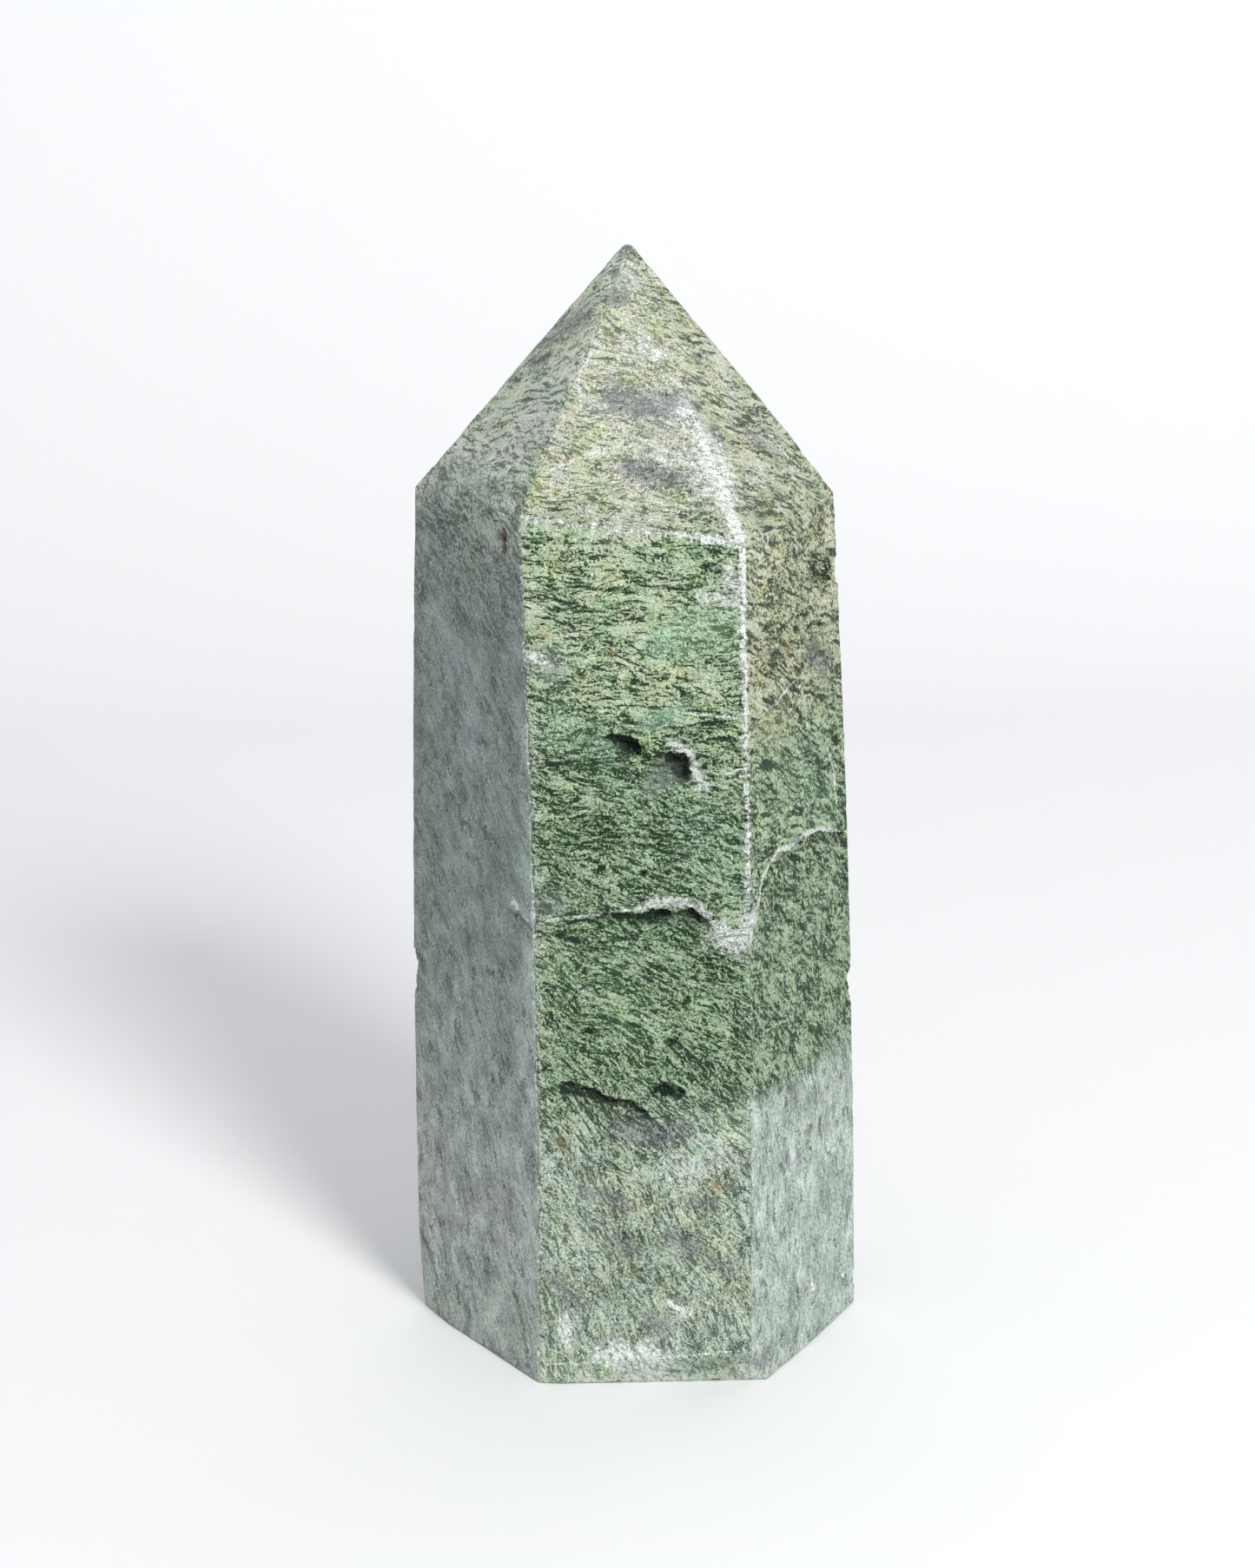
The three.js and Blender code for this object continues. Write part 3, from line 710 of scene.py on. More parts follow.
def ledge_spots(face, rim):
    """The places along a ledge, with half their width and height."""
    spots = []
    for here, there in zip(rim, rim[1:]):
        across = (here[0] + there[0]) / 2
        height = (here[1] + there[1]) / 2
        run = max(here[3], there[3])
        reach = abs(there[0] - here[0]) / 2 + LEDGE_SIDE
        rise = abs(there[1] - here[1]) / 2
        tall = (rise * 2 + run + LEDGE_SPARE) / 2
        middle = height + rise + LEDGE_ABOVE - tall
        spots.append((face_frame(face, across, middle), reach, tall))
    return spots


def detailed_spots():
    """The places where the stone is broken, with half their width and height."""
    spots = []
    for face, across, height, width, tall, _, _, _ in PITS + FLAKES:
        reach = max(width, tall) / 2 + PIT_MARGIN
        spots.append((face_frame(face, across, height), reach, reach))
    for name, height, width, tall, _, _ in CHIPS:
        reach = width / 2 + CHIP_MARGIN
        spots.append((edge_frame(name, height), reach, tall / 2 + CHIP_MARGIN))
    for face, rim in LEDGES:
        spots += ledge_spots(face, rim)
    return spots


def refine(bm, spots, keep=1.0):
    """Halves the cells in the detailed places."""
    faces = list(bm.faces)
    middles = np.array([face.calc_center_median() for face in faces])
    wanted = np.zeros(len(faces), bool)
    for place, half_width, half_height in spots:
        reach = (half_width * keep, half_height * keep, DETAIL_DEPTH)
        wanted |= (abs(local(middles, place)) < reach).all(axis=1)
    edges = {edge for face, want in zip(faces, wanted) if want for edge in face.edges}
    bmesh.ops.subdivide_edges(bm, edges=list(edges), cuts=1, use_grid_fill=True)


def grain_noise(points, size, seed):
    """Smooth noise from about -1 to 1 at each point, with lumps of a given size."""
    shift = Vector([seed * step for step in SEED_STEPS])
    return np.array([noise.noise(Vector(point) / size + shift) for point in points])


def layered(points, layers, seed=0):
    """Smooth noise in layers, each a share, a size of lump and a seed of its own."""
    return sum(share * grain_noise(points, size, seed + own) for share, size, own in layers)


def in_plan(x, y):
    """Places on a face as points for the noise."""
    return np.column_stack([x, y, np.zeros(len(x))])


def carve(points, place, profile, reach):
    """Lowers the points near a spot to a profile of depth over (right, up)."""
    coords = local(points, place)
    near = (abs(coords) < (reach, reach, CARVE_DEPTH)).all(axis=1)
    x, y, z = coords[near].T
    lowered = np.minimum(z, profile(x, y)) - z
    points[near] += lowered[:, None] * place[1][2]


def pit_profile(width, tall, depth, turn, seed):
    """A ragged hollow with steep walls and an uneven floor."""
    angle = math.radians(turn)

    def profile(x, y):
        plan = in_plan(x, y)
        along = x * math.cos(angle) + y * math.sin(angle)
        over = y * math.cos(angle) - x * math.sin(angle)
        inside = 1 - np.hypot(2 * along / width, 2 * over / tall) + layered(plan, PIT_RIM, seed)
        wall = np.sqrt(np.clip(inside * PIT_STEEPNESS, 0, 1))
        floor = 1 + layered(plan, PIT_FLOOR, seed)
        return np.where(inside > 0, -depth * wall * floor, UNCUT)

    return profile


def ledge_profile(rim, seed):
    """A jagged step under a rim, running back out to the face below it."""
    across, height, depth, run = (np.array(column) for column in zip(*rim))

    def profile(x, y):
        start = np.clip((x - across[0]) / LEDGE_ENDS, 0, 1)
        end = np.clip((across[-1] - x) / LEDGE_ENDS, 0, 1)
        jag = layered(in_plan(x, y * 0), LEDGE_RIM, seed)
        below = np.interp(x, across, height) + jag - y
        along = below / np.interp(x, across, run)
        slope = np.clip(1 - along, 0, 1) ** LEDGE_SLOPE
        drop = np.interp(x, across, depth) * (start * end) * slope
        uneven = 1 + layered(in_plan(x, y), LEDGE_FLOOR, seed)
        return np.where((below > 0) & (along < 1), -drop * uneven, UNCUT)

    return profile


def raise_flake(points, face, across, height, width, tall, lift, turn, seed):
    """A thin flake that stands a little proud."""
    place = face_frame(face, across, height)
    coords = local(points, place)
    near = (abs(coords) < (width, width, FLAKE_DEPTH)).all(axis=1)
    x, y, _ = coords[near].T
    hollow = pit_profile(width, tall, lift, turn, seed)(x, y)
    raised = np.maximum(-hollow * FLAKE_RISE, 0)
    points[near] += raised[:, None] * place[1][2]


def bevel(points, plane):
    """Slides points outside a plane level across onto it, near the foot of the stone."""
    normal, offset = plane
    level = unit(np.array([normal[0], normal[1], 0.0]))
    outside = points @ normal - offset
    near = (outside > 0) & (points[:, 2] < FOOT_TOP)
    points[near] -= level * (outside[near] / (normal @ level))[:, None]


def broken_relief(points, facing):
    """How far the uneven fibres are sunk between their crests: level beds on the front, and
    upright ones on the right, fewer at the pale foot and none on the smooth left face."""
    front = np.clip((-facing[:, 1] - FRONT_FROM) * FRONT_BLEND, 0, 1)
    right = (1 - front) * np.clip((facing[:, 0] - RIGHT_FROM) * RIGHT_BLEND, 0, 1)
    level_beds = layered(points / LEVEL_BEDS, LEVEL_NOISE)
    upright_beds = layered(points / UPRIGHT_BEDS, UPRIGHT_NOISE)
    beds = np.where(front > 0.5, level_beds, upright_beds) + layered(points, BED_GRAIN)
    heights, shares = zip(*BEDS_SHOWN)
    shown = (front + UPRIGHT_SHARE * right) * np.interp(points[:, 2], heights, shares)
    return BED_DEPTH * shown * np.clip(BED_CREST - beds, 0, 1) ** BED_SHARPNESS


def stretches(points, path):
    """For each stretch of a line: its number, its run, how far along it each point is as a
    share, and the way from the line to the point."""
    for number, (start, end) in enumerate(zip(path, path[1:])):
        run = end - start
        share = np.clip((points - start) @ run / (run @ run), 0, 1)
        yield number, run, share, points - start - share[:, None] * run


def distance_to_path(points, path):
    """Distance of each point from a line through some places, and how far along it that is."""
    nearest = np.full(len(points), FAR)
    passed = np.zeros(len(points))
    for number, _, share, offset in stretches(points, path):
        gap = np.linalg.norm(offset, axis=1)
        passed = np.where(gap < nearest, (number + share) / (len(path) - 1), passed)
        nearest = np.minimum(nearest, gap)
    return nearest, passed


def side_of_path(points, facing, path):
    """Which side of a line on the face each point lies, as 1 or -1."""
    nearest = np.full(len(points), FAR)
    side = np.ones(len(points))
    for _, run, _, offset in stretches(points, path):
        gap = np.linalg.norm(offset, axis=1)
        turn = np.sign((np.cross(run, offset) * facing).sum(axis=1))
        side = np.where(gap < nearest, turn, side)
        nearest = np.minimum(nearest, gap)
    return side


def places(stations):
    """The stations of a line as points on the stone."""
    face = "front"
    points = []
    for station in stations:
        if isinstance(station, str):
            face = station
        else:
            points.append(face_frame(face, *station)[0])
    return points


def edge_paths():
    """The stone's sharp edges as lines: up the column, round the shoulder, up the ridges."""
    paths = {}
    for name in EDGES:
        heights = np.linspace(0, EDGES[name][1][2], EDGE_STATIONS)
        paths[name] = [edge_point(name, height) for height in heights]
        paths["ridge_" + name] = [np.array(EDGES[name][1]), np.array(APEX)]
    for face, (start, end, _) in FACES.items():
        paths["shoulder_" + face] = [np.array(EDGES[start][1]), np.array(EDGES[end][1])]
        paths["foot_" + face] = [edge_point(start, 0), edge_point(end, 0)]
    return paths


def side_weights(facing):
    """How much each point belongs to each side, from the way that it faces."""
    sides = list(FIBRES)
    turns = []
    for side in sides:
        outward = face_frame(side, *SIDE_SPOT)[1][2]
        turns.append(math.atan2(outward[1], outward[0]))
    turn = np.arctan2(facing[:, 1], facing[:, 0])
    gaps = np.array([np.abs((turn - other + math.pi) % (2 * math.pi) - math.pi)
                     for other in turns])
    weights = np.clip(1 - gaps / math.radians(SIDE_BLEND), 0.0, 1) ** 2 + LEAST_WEIGHT
    return sides, weights / weights.sum(axis=0)


def wear_down(points, facing):
    """The stone with its faces ground uneven, its edges worn round and its foot bevelled."""
    edge = np.min([distance_to_path(points, path)[0] for path in edge_paths().values()], axis=0)
    rounded = ROUNDING * np.clip(1 - edge / ROUNDING_REACH, 0, 1) ** 2
    nibbled = np.clip(layered(points, NIBBLES), 0, 1) * np.clip(1 - edge / NIBBLE_REACH, 0, 1)
    sunken = broken_relief(points, facing) * np.clip(edge / BEDS_FROM_EDGE, BEDS_AT_EDGE, 1)
    lost = rounded + nibbled + sunken + SKIN - layered(points, SWELL)
    worn = points - lost[:, None] * facing
    bevel(worn, plane_through(*FOOT_BEVEL))
    bevel(worn, plane_through(*WORN_FOOT))
    return worn


def wear(points, facing):
    """All that wore and broke the stone, worked into its points, and how far the broken
    places are sunk."""
    worn = wear_down(points, facing)
    whole = worn.copy()
    for flake in FLAKES:
        raise_flake(worn, *flake)
    for number, (face, rim) in enumerate(LEDGES):
        height = sum(station[1] for station in rim) / len(rim)
        place = face_frame(face, 0.0, height)
        flat_rim = [(across, up - height, depth, run) for across, up, depth, run in rim]
        carve(worn, place, ledge_profile(flat_rim, LEDGE_SEED + number), LEDGE_REACH)
    for face, across, height, width, tall, depth, turn, seed in PITS:
        profile = pit_profile(width, tall, depth, turn, seed)
        carve(worn, face_frame(face, across, height), profile, max(width, tall))
    for name, height, width, tall, depth, seed in CHIPS:
        profile = pit_profile(width, tall, depth, 0, seed)
        carve(worn, edge_frame(name, height), profile, max(width, tall))
    worn[:, 2] = np.clip(worn[:, 2], 0.0, HEIGHT)
    return worn, np.linalg.norm(worn - whole, axis=1)


def add_layer(mesh, name, kind, values, domain="POINT"):
    """Values for the vertices or faces of a mesh, which the material reads by name."""
    layer = mesh.attributes.new(name, kind, domain)
    layer.data.foreach_set(LAYER_KEYS[kind], values.astype(np.float32).ravel())


def lay_patches(points, ground, moss):
    """Blends the soft patches into the ground colour, and calms the fibres there."""
    wobble = layered(points, PATCH_WOBBLE)
    for colour, share, calm, reach, *stations in PATCHES:
        distance = distance_to_path(points, places(stations))[0]
        cover = np.clip(PATCH_MIDDLE + wobble - distance / reach, 0, 1)
        ground += (np.array(PALETTE[colour]) - ground) * (cover * share)[:, None]
        moss *= 1 - cover * calm


def mark_cover(points, kind):
    """How near each point is to marks of a kind: 1 along their middle, 0.5 at their reach."""
    cover = np.zeros(len(points))
    for reach, *stations in MARKS[kind]:
        distance = distance_to_path(points, places(stations))[0]
        cover = np.maximum(cover, 1 - 0.5 * distance / reach)
    return cover


def line_fields(points, facing, lines):
    """Signed distance from the nearest thin line, and its half width, below 0 away from it."""
    signed = np.ones(len(points))
    width = np.full(len(points), -1.0)
    for half_width, *stations in lines:
        path = places(stations)
        distance, passed = distance_to_path(points, path)
        taper = np.clip(np.minimum(passed, 1 - passed) * LINE_TAPER, LINE_END, 1)
        nearer = distance < np.minimum(abs(signed), LINE_REACH)
        side = side_of_path(points[nearer], facing[nearer], path)
        signed[nearer] = distance[nearer] * side
        fade = np.clip((LINE_REACH - distance[nearer]) * LINE_FADE, 0, 1)
        width[nearer] = half_width * taper[nearer] * fade - (1 - fade)
    return signed, width


def edge_scuffs(points):
    """How badly the stone is scuffed at each point, fading out beside the edges."""
    scuffs = np.zeros(len(points))
    for name, path in edge_paths().items():
        distance, passed = distance_to_path(points, path)
        shares, levels = zip(*SCUFFS.get(name, UNSCUFFED))
        strength = np.interp(passed, shares, levels)
        scuffs = np.maximum(scuffs, strength * np.clip(1 - distance / SCUFF_REACH, 0, 1))
    return scuffs


def lay_directions(mesh, facing):
    """Outward and level directions of each face of the mesh, for the course of the fibres."""
    level = np.cross((0.0, 0.0, 1.0), facing)
    level[np.linalg.norm(level, axis=1) < LEVEL_LIMIT] = (1.0, 0.0, 0.0)
    level /= np.linalg.norm(level, axis=1)[:, None]
    add_layer(mesh, "level", "FLOAT_VECTOR", level, "FACE")
    add_layer(mesh, "facing", "FLOAT_VECTOR", facing, "FACE")
    fineness = 1 - COARSER_SIDES * np.abs(facing[:, 0])
    add_layer(mesh, "fineness", "FLOAT", fineness, "FACE")


def side_fields(points, facing):
    """Lean of the fibres, ground colour and how much the fibres stand out on each side."""
    height = points[:, 2] + layered(points, HEIGHT_DRIFT)
    lean = np.zeros(len(points))
    ground = np.zeros((len(points), 3))
    moss = np.zeros(len(points))
    for side, weight in zip(*side_weights(facing)):
        heights, degrees = zip(*FIBRES[side])
        lean += weight * np.interp(height, heights, degrees)
        levels, names, shows = zip(*GROUNDS[side])
        colours = np.array([PALETTE[name] for name in names])
        for channel in range(3):
            ground[:, channel] += weight * np.interp(height, levels, colours[:, channel])
        moss += weight * np.interp(height, levels, shows)
    return lean, ground, moss


def paint(mesh, points, facing, sunk):
    """The fields that the material reads: fibres, ground colour, marks, wear, and the depth of the
    hollows that the material darkens as painted shade.
    """
    lean, ground, moss = side_fields(points, facing)
    lay_patches(points, ground, moss)
    opaque = np.ones(len(points))
    add_layer(mesh, "ground", "FLOAT_COLOR", np.column_stack([ground, opaque]))
    fields = {kind: mark_cover(points, kind) for kind in MARKS}
    for name, lines in LINES.items():
        fields[name], fields[name + "_width"] = line_fields(points, facing, lines)
    fields.update(lean=lean, moss=moss, scuff=edge_scuffs(points))
    fields["sunk"] = np.clip(sunk, 0, SUNK_LIMIT)
    for name, values in fields.items():
        add_layer(mesh, name, "FLOAT", values)


def add_object(name, data):
    """A new object in the scene."""
    item = bpy.data.objects.new(name, data)
    bpy.context.scene.collection.objects.link(item)
    return item


def make_stone():
    """The whole stone as one fine mesh."""
    bm = blank_mesh()
    spots = detailed_spots()
    refine(bm, spots)
    refine(bm, [spot for spot in spots if spot[0][0][1] < SECOND_LIMIT], SECOND_REACH)
    bm.normal_update()
    points = np.array([vertex.co for vertex in bm.verts])
    facing = np.array([vertex.normal for vertex in bm.verts])
    face_facing = np.array([face.normal for face in bm.faces])
    worn, sunk = wear(points, facing)
    centre = np.array([*PLAN_CENTRE, 0.0])
    for vertex, place in zip(bm.verts, (worn - centre) * MM):
        vertex.co = place
    for face in bm.faces:
        face.smooth = True
    mesh = bpy.data.meshes.new("moss_agate")
    bm.to_mesh(mesh)
    bm.free()
    lay_directions(mesh, face_facing)
    paint(mesh, points, facing, sunk)
    return add_object("moss_agate", mesh)


class Graph:
    """Short ways to add and join a material's nodes."""

    def __init__(self, name):
        self.material = bpy.data.materials.new(name)
        self.material.use_nodes = True
        self.tree = self.material.node_tree
        self.tree.nodes.clear()

    def add(self, kind, inputs=None, **settings):
        node = self.tree.nodes.new("ShaderNode" + kind)
        for key, value in settings.items():
            setattr(node, key, value)
        for key, value in (inputs or {}).items():
            self.feed(node.inputs[key], value)
        return node

    def feed(self, socket, value):
        if isinstance(value, bpy.types.NodeSocket):
            self.tree.links.new(value, socket)
        else:
            socket.default_value = value

    def math(self, operation, a, b=0.0, c=0.0):
        return self.add("Math", {0: a, 1: b, 2: c}, operation=operation).outputs[0]

    def times(self, a, b):
        return self.math("MULTIPLY", a, b)

    def total(self, base, *terms):
        """A base plus the value of each term times its share."""
        for value, share in terms:
            base = self.math("MULTIPLY_ADD", value, share, base)
        return base

    def vector(self, operation, a, b=(0.0, 0.0, 0.0), scale=1.0):
        node = self.add("VectorMath", {0: a, 1: b, 3: scale}, operation=operation)
        return node.outputs["Value" if operation == "DOT_PRODUCT" else "Vector"]

    def even(self, value, low, high, start=0.0, end=1.0):
        """From start at low to end at high, evenly."""
        return self.add("MapRange", {0: value, 1: low, 2: high, 3: start, 4: end}).outputs[0]

    def smooth(self, value, low, high):
        """0 below low and 1 above high, with a soft step between."""
        node = self.add("MapRange", {0: value, 1: low, 2: high}, interpolation_type="SMOOTHSTEP")
        return node.outputs[0]

    def mix(self, share, a, b, blend="MIX"):
        node = self.add("Mix", data_type="RGBA", blend_type=blend)
        for socket, value in zip((0, 6, 7), (share, a, b)):
            self.feed(node.inputs[socket], value)
        return node.outputs[2]

    def noise(self, vector, scale, detail, rough):
        inputs = {"Vector": vector, "Scale": scale, "Detail": detail, "Roughness": rough}
        return self.add("TexNoise", inputs)

    def field(self, name, output="Fac"):
        return self.add("Attribute", attribute_name=name).outputs[output]

    def finish(self, inputs):
        """Ends the material in one opaque surface."""
        shader = self.add("BsdfPrincipled", inputs)
        self.add("OutputMaterial", {"Surface": shader.outputs[0]})
        return self.material


def along_fibres(graph, place):
    """Millimetres along, across and deep into the fibres, whose course changes in steps."""
    patch = graph.noise(place, *COURSES).outputs["Fac"]
    sway = graph.total(-FIBRE_SWAY, (patch, FIBRE_SWAY * 2))
    lean = graph.math("DIVIDE", graph.math("ADD", graph.field("lean"), sway), FIBRE_STEP)
    angle = graph.times(graph.math("ROUND", lean), math.radians(FIBRE_STEP))
    facing = graph.field("facing", "Vector")
    level = graph.field("level", "Vector")
    turned = graph.add("VectorRotate", {"Vector": level, "Axis": facing, "Angle": angle})
    along = turned.outputs[0]
    axes = (along, graph.vector("CROSS_PRODUCT", facing, along), facing)
    spot = {number: graph.vector("DOT_PRODUCT", place, axis) for number, axis in enumerate(axes)}
    spot = graph.add("CombineXYZ", spot).outputs[0]
    return graph.vector("SCALE", spot, scale=graph.field("fineness"))


def strands(graph, spot, long, thin, detail, rough, seed):
    """Noise drawn out along the fibres."""
    stretched = graph.vector("MULTIPLY", spot, (1 / long, 1 / thin, 1 / thin))
    shifted = graph.vector("ADD", stretched, [seed * step for step in STRAND_STEPS])
    return graph.noise(shifted, 1.0, detail, rough).outputs["Fac"]


def threads(graph, value):
    """1 along the lines where a noise crosses its middle, and 0 away from them."""
    away = graph.math("ABSOLUTE", graph.math("SUBTRACT", value, 0.5))
    return graph.smooth(away, THREAD_WIDTH, 0.0)


def line_cover(graph, name, ragged):
    """1 on the thin lines of a field and 0 off them, with a ragged border."""
    away = graph.math("ABSOLUTE", graph.field(name))
    inside = graph.math("SUBTRACT", graph.field(name + "_width"), away)
    return graph.smooth(graph.math("ADD", ragged, inside), *LINE_BORDER)


def mark_border(graph, name, ragged):
    """1 on the marks of a kind and 0 off them, with a ragged border."""
    low, high, reach = BORDERS[name]
    return graph.smooth(graph.total(graph.field(name), (ragged, reach)), low, high)


def bent(graph, place):
    """Places pushed about a little, so that nothing in the stone runs quite straight."""
    warped = place
    for size, detail, rough, reach in BENDS:
        push = graph.noise(place, size, detail, rough).outputs["Color"]
        push = graph.vector("SUBTRACT", push, (0.5, 0.5, 0.5))
        warped = graph.vector("ADD", warped, graph.vector("SCALE", push, scale=reach))
    return warped


def stone_noises(graph):
    """The noises that the stone is drawn with, by name."""
    place = graph.vector("SCALE", graph.add("TexCoord").outputs["Object"], scale=1 / MM)
    warped = bent(graph, place)
    spot = along_fibres(graph, warped)
    noises = {name: strands(graph, spot, *sizes) for name, sizes in STRANDS.items()}
    # The gaps less the same noise shifted towards the key light: a painted emboss of light and
    # shade on the fibres
    above = strands(graph, graph.vector("ADD", spot, LIT_FROM), *STRANDS["gaps"])
    noises["lit"] = graph.math("SUBTRACT", noises["gaps"], above)
    noises["threads"] = threads(graph, noises["threads"])
    grains = graph.noise(place, *GRAINS)
    noises["speck"] = grains.outputs["Fac"]
    noises["amber"] = graph.add("SeparateColor", {0: grains.outputs["Color"]}).outputs[1]
    rags = graph.noise(place, *RAGS).outputs["Fac"]
    noises["ragged"] = graph.math("SUBTRACT", rags, 0.5)
    clouds = graph.add("SeparateColor", {0: graph.noise(warped, *CLOUDS).outputs["Color"]})
    noises.update(zip(("warm", "cool", "lift"), clouds.outputs))
    return noises


def add_marks(graph, parts):
    """Adds the marks to the named parts of the stone, and its hollows between the fibres."""
    for name in BORDERS:
        parts[name] = mark_border(graph, name, parts["ragged"])
    for name in LINES:
        parts[name] = line_cover(graph, name, parts["ragged"])
    parts["all_moss"] = graph.field("moss")
    parts["moss"] = graph.times(parts["all_moss"], graph.total(1.0, (parts["quartz"], -0.45)))
    parts["pit"] = graph.smooth(graph.total(parts["pocks"], (parts["speck"], 0.35)), *POCK_RANGE)
    parts["slit"] = graph.smooth(parts["slits"], *SLIT_RANGE)
    parts["pock"] = graph.times(parts["pit"], graph.math("SUBTRACT", 1.0, parts["moss"]))


def weighed(graph, parts, weights):
    """The named parts added up by their weights, from the base that the weights start with."""
    terms = [(parts[name], share) for name, share in weights.items() if name != "base"]
    return graph.total(weights["base"], *terms)


def tinted_ground(graph, parts):
    """The ground colour, tinted in patches, with its quartz windows and its shading."""
    ground = graph.field("ground", "Color")
    for name, among, low, high, share, tint in TINTS:
        cover = graph.times(graph.smooth(parts[name], low, high), parts[among])
        tinted = graph.mix(1.0, ground, tint, "MULTIPLY")
        ground = graph.mix(graph.times(cover, share), ground, tinted)
    ground = graph.mix(graph.times(parts["quartz"], 0.88), ground, QUARTZ)
    grey = weighed(graph, parts, SHADING)
    grey = graph.add("CombineColor", {0: grey, 1: grey, 2: grey}).outputs[0]
    return graph.mix(0.65, ground, grey, "OVERLAY")


def fibre_colour(graph, parts, height):
    """The ground with its fibres: dark gaps, partly painted shade, pale crests, partly a painted
    highlight, slits in painted shade, and dark pocks.
    """
    ground = tinted_ground(graph, parts)
    # The dark of the gaps: partly the dark fibres, partly painted shade between them
    dark_fibre_and_shade = graph.mix(1.0, ground, DARK_FIBRE_AND_SHADE, "MULTIPLY")
    # The pale of the crests: partly pale fibres, partly a painted highlight
    gleam = graph.total(-0.52, (parts["speck"], 2.0))
    pale_and_highlight = graph.mix(gleam, graph.mix(1.0, ground, ground, "SCREEN"), PALE_AND_HIGHLIGHT)
    # The painted emboss, its strength set by the clouds, is added to the tone: paler where the
    # fibres face the key light, painted shade where they face away
    emboss_strength = graph.even(parts["lift"], 0.35, 0.65, 2.8, 0.8)
    tone = graph.total(height, (parts["lit"], emboss_strength))
    lower = graph.even(tone, *LOWER_TONES)
    upper = graph.even(tone, *UPPER_TONES)
    fibres = graph.mix(upper, graph.mix(lower, dark_fibre_and_shade, ground), pale_and_highlight)
    # Painted shade in the slits between the fibres
    fibres = graph.mix(graph.times(parts["slit"], 0.82), fibres, SLIT_SHADE)
    colour = graph.mix(parts["moss"], ground, fibres)
    return graph.mix(graph.times(parts["pock"], 0.45), colour, dark_fibre_and_shade)


def worn_and_shaded_colour(graph, parts, height, colour):
    """The colour with painted shade in the hollows and along the cracks, rust and white wear, and
    how white the wear is.
    """
    # Painted shade in the sunk broken places and along the cracks
    hollow = graph.smooth(graph.field("sunk"), *SUNK_RANGE)
    shade = graph.math("MAXIMUM", hollow, graph.times(parts["crack_shade"], 0.6))
    colour = graph.mix(graph.times(shade, 0.75), colour, HOLLOW_SHADE)
    colour = graph.mix(graph.times(parts["rust"], 0.6), colour, RUST)
    dull = graph.times(graph.math("MAXIMUM", parts["chalk"], parts["vein"]), 0.75)
    white = graph.math("MAXIMUM", dull, graph.times(parts["scuff"], 0.95))
    high = graph.smooth(graph.total(height, (white, 0.22)), *UPPER_TONES)
    white = graph.times(white, graph.total(0.46, (high, 0.50)))
    return graph.mix(white, colour, CHALK), white


def agate_material():
    """Grey chalcedony full of green fibres, polished, with scuffed edges."""
    graph = Graph("moss_agate")
    parts = stone_noises(graph)
    add_marks(graph, parts)
    height = weighed(graph, parts, RELIEF)
    colour, white = worn_and_shaded_colour(graph, parts, height, fibre_colour(graph, parts, height))
    relief = graph.times(height, graph.total(0.1, (parts["moss"], 0.9)))
    relief = graph.times(relief, graph.total(1.0, (white, -0.5)))
    relief = graph.total(relief, (parts["pock"], -0.3), (parts["vein"], 0.2))
    bump = graph.add("Bump", {"Height": relief, "Strength": 1.0, "Distance": BUMP})
    return graph.finish({
        "Base Color": colour, "Roughness": graph.total(POLISH, (parts["moss"], 0.2)),
        "IOR": STONE_IOR, "Specular IOR Level": STONE_SHINE, "Normal": bump.outputs[0],
    })


def plain_material(name, colour, roughness):
    return Graph(name).finish({"Base Color": (*colour, 1.0), "Roughness": roughness})


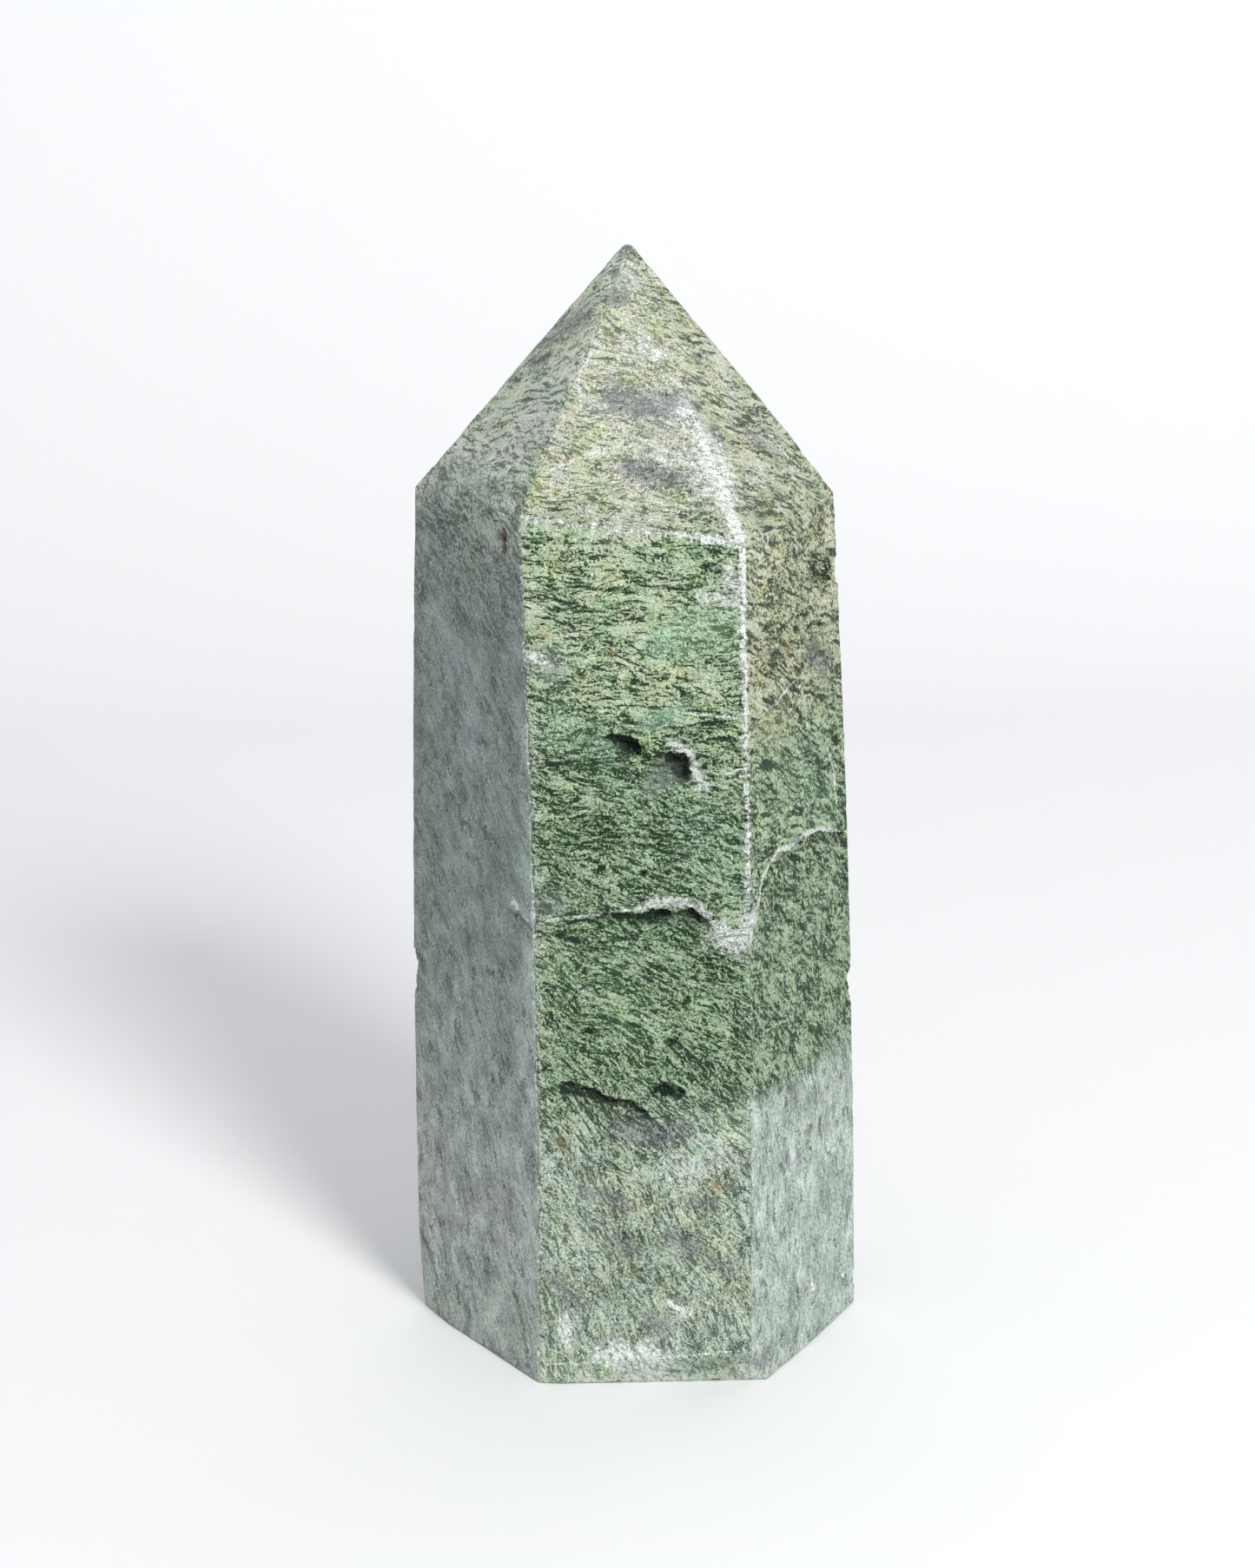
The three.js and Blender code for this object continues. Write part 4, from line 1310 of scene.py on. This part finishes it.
def make_stage():
    """A pale table that curves up into a backdrop."""
    outline = [(STAGE_FRONT, 0.0), (TABLE_BACK, 0.0)]
    for step in range(1, SWEEP_STEPS + 1):
        turn = math.radians(90 * step / SWEEP_STEPS)
        outline.append((TABLE_BACK + SWEEP_RADIUS * math.sin(turn),
                        SWEEP_RADIUS * (1 - math.cos(turn))))
    outline.append((TABLE_BACK + SWEEP_RADIUS, BACKDROP_TOP))
    verts = [(x, y, z) for y, z in outline for x in (-STAGE_HALF_WIDTH, STAGE_HALF_WIDTH)]
    faces = [(2 * i, 2 * i + 1, 2 * i + 3, 2 * i + 2) for i in range(len(outline) - 1)]
    mesh = bpy.data.meshes.new("stage")
    mesh.from_pydata(verts, [], faces)
    mesh.polygons.foreach_set("use_smooth", [True] * len(faces))
    mesh.materials.append(plain_material("stage", STAGE_COLOUR, STAGE_ROUGHNESS))
    add_object("stage", mesh)


def make_lights():
    """One large soft key light from the front right, and even light all round."""
    azimuth = math.radians(KEY_AZIMUTH)
    height = math.radians(KEY_HEIGHT)
    towards = Vector((math.sin(azimuth) * math.cos(height),
                      -math.cos(azimuth) * math.cos(height), math.sin(height)))
    light = bpy.data.lights.new("key", "AREA")
    light.shape = "DISK"
    light.size = KEY_SIZE
    light.energy = KEY_POWER
    key = add_object("key", light)
    key.location = towards * KEY_DISTANCE
    key.rotation_euler = towards.to_track_quat("Z", "Y").to_euler()
    world = bpy.data.worlds.new("studio")
    world.use_nodes = True
    background = world.node_tree.nodes["Background"]
    background.inputs["Color"].default_value = SKY_COLOUR
    background.inputs["Strength"].default_value = SKY
    bpy.context.scene.world = world


def make_camera():
    """The photograph's view of the stone."""
    tilt = math.radians(CAMERA_TILT)
    roll = math.radians(CAMERA_ROLL)
    level = Vector((1, 0, 0))
    lifted = Vector((0, math.sin(tilt), math.cos(tilt)))
    right = level * math.cos(roll) - lifted * math.sin(roll)
    up = level * math.sin(roll) + lifted * math.cos(roll)
    data = bpy.data.cameras.new("camera")
    data.lens = LENS
    camera = add_object("camera", data)
    turn = Matrix((right, up, right.cross(up))).transposed().to_4x4()
    camera.matrix_world = Matrix.Translation(Vector(CAMERA_AT) * MM) @ turn
    bpy.context.scene.camera = camera


make_camera()
make_lights()
make_stage()
stone = make_stone()
stone.data.materials.append(agate_material())
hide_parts(NODE)
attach(stone, "root")
bpy.context.scene.view_settings.view_transform = "Standard"
bpy.context.view_layer.update()
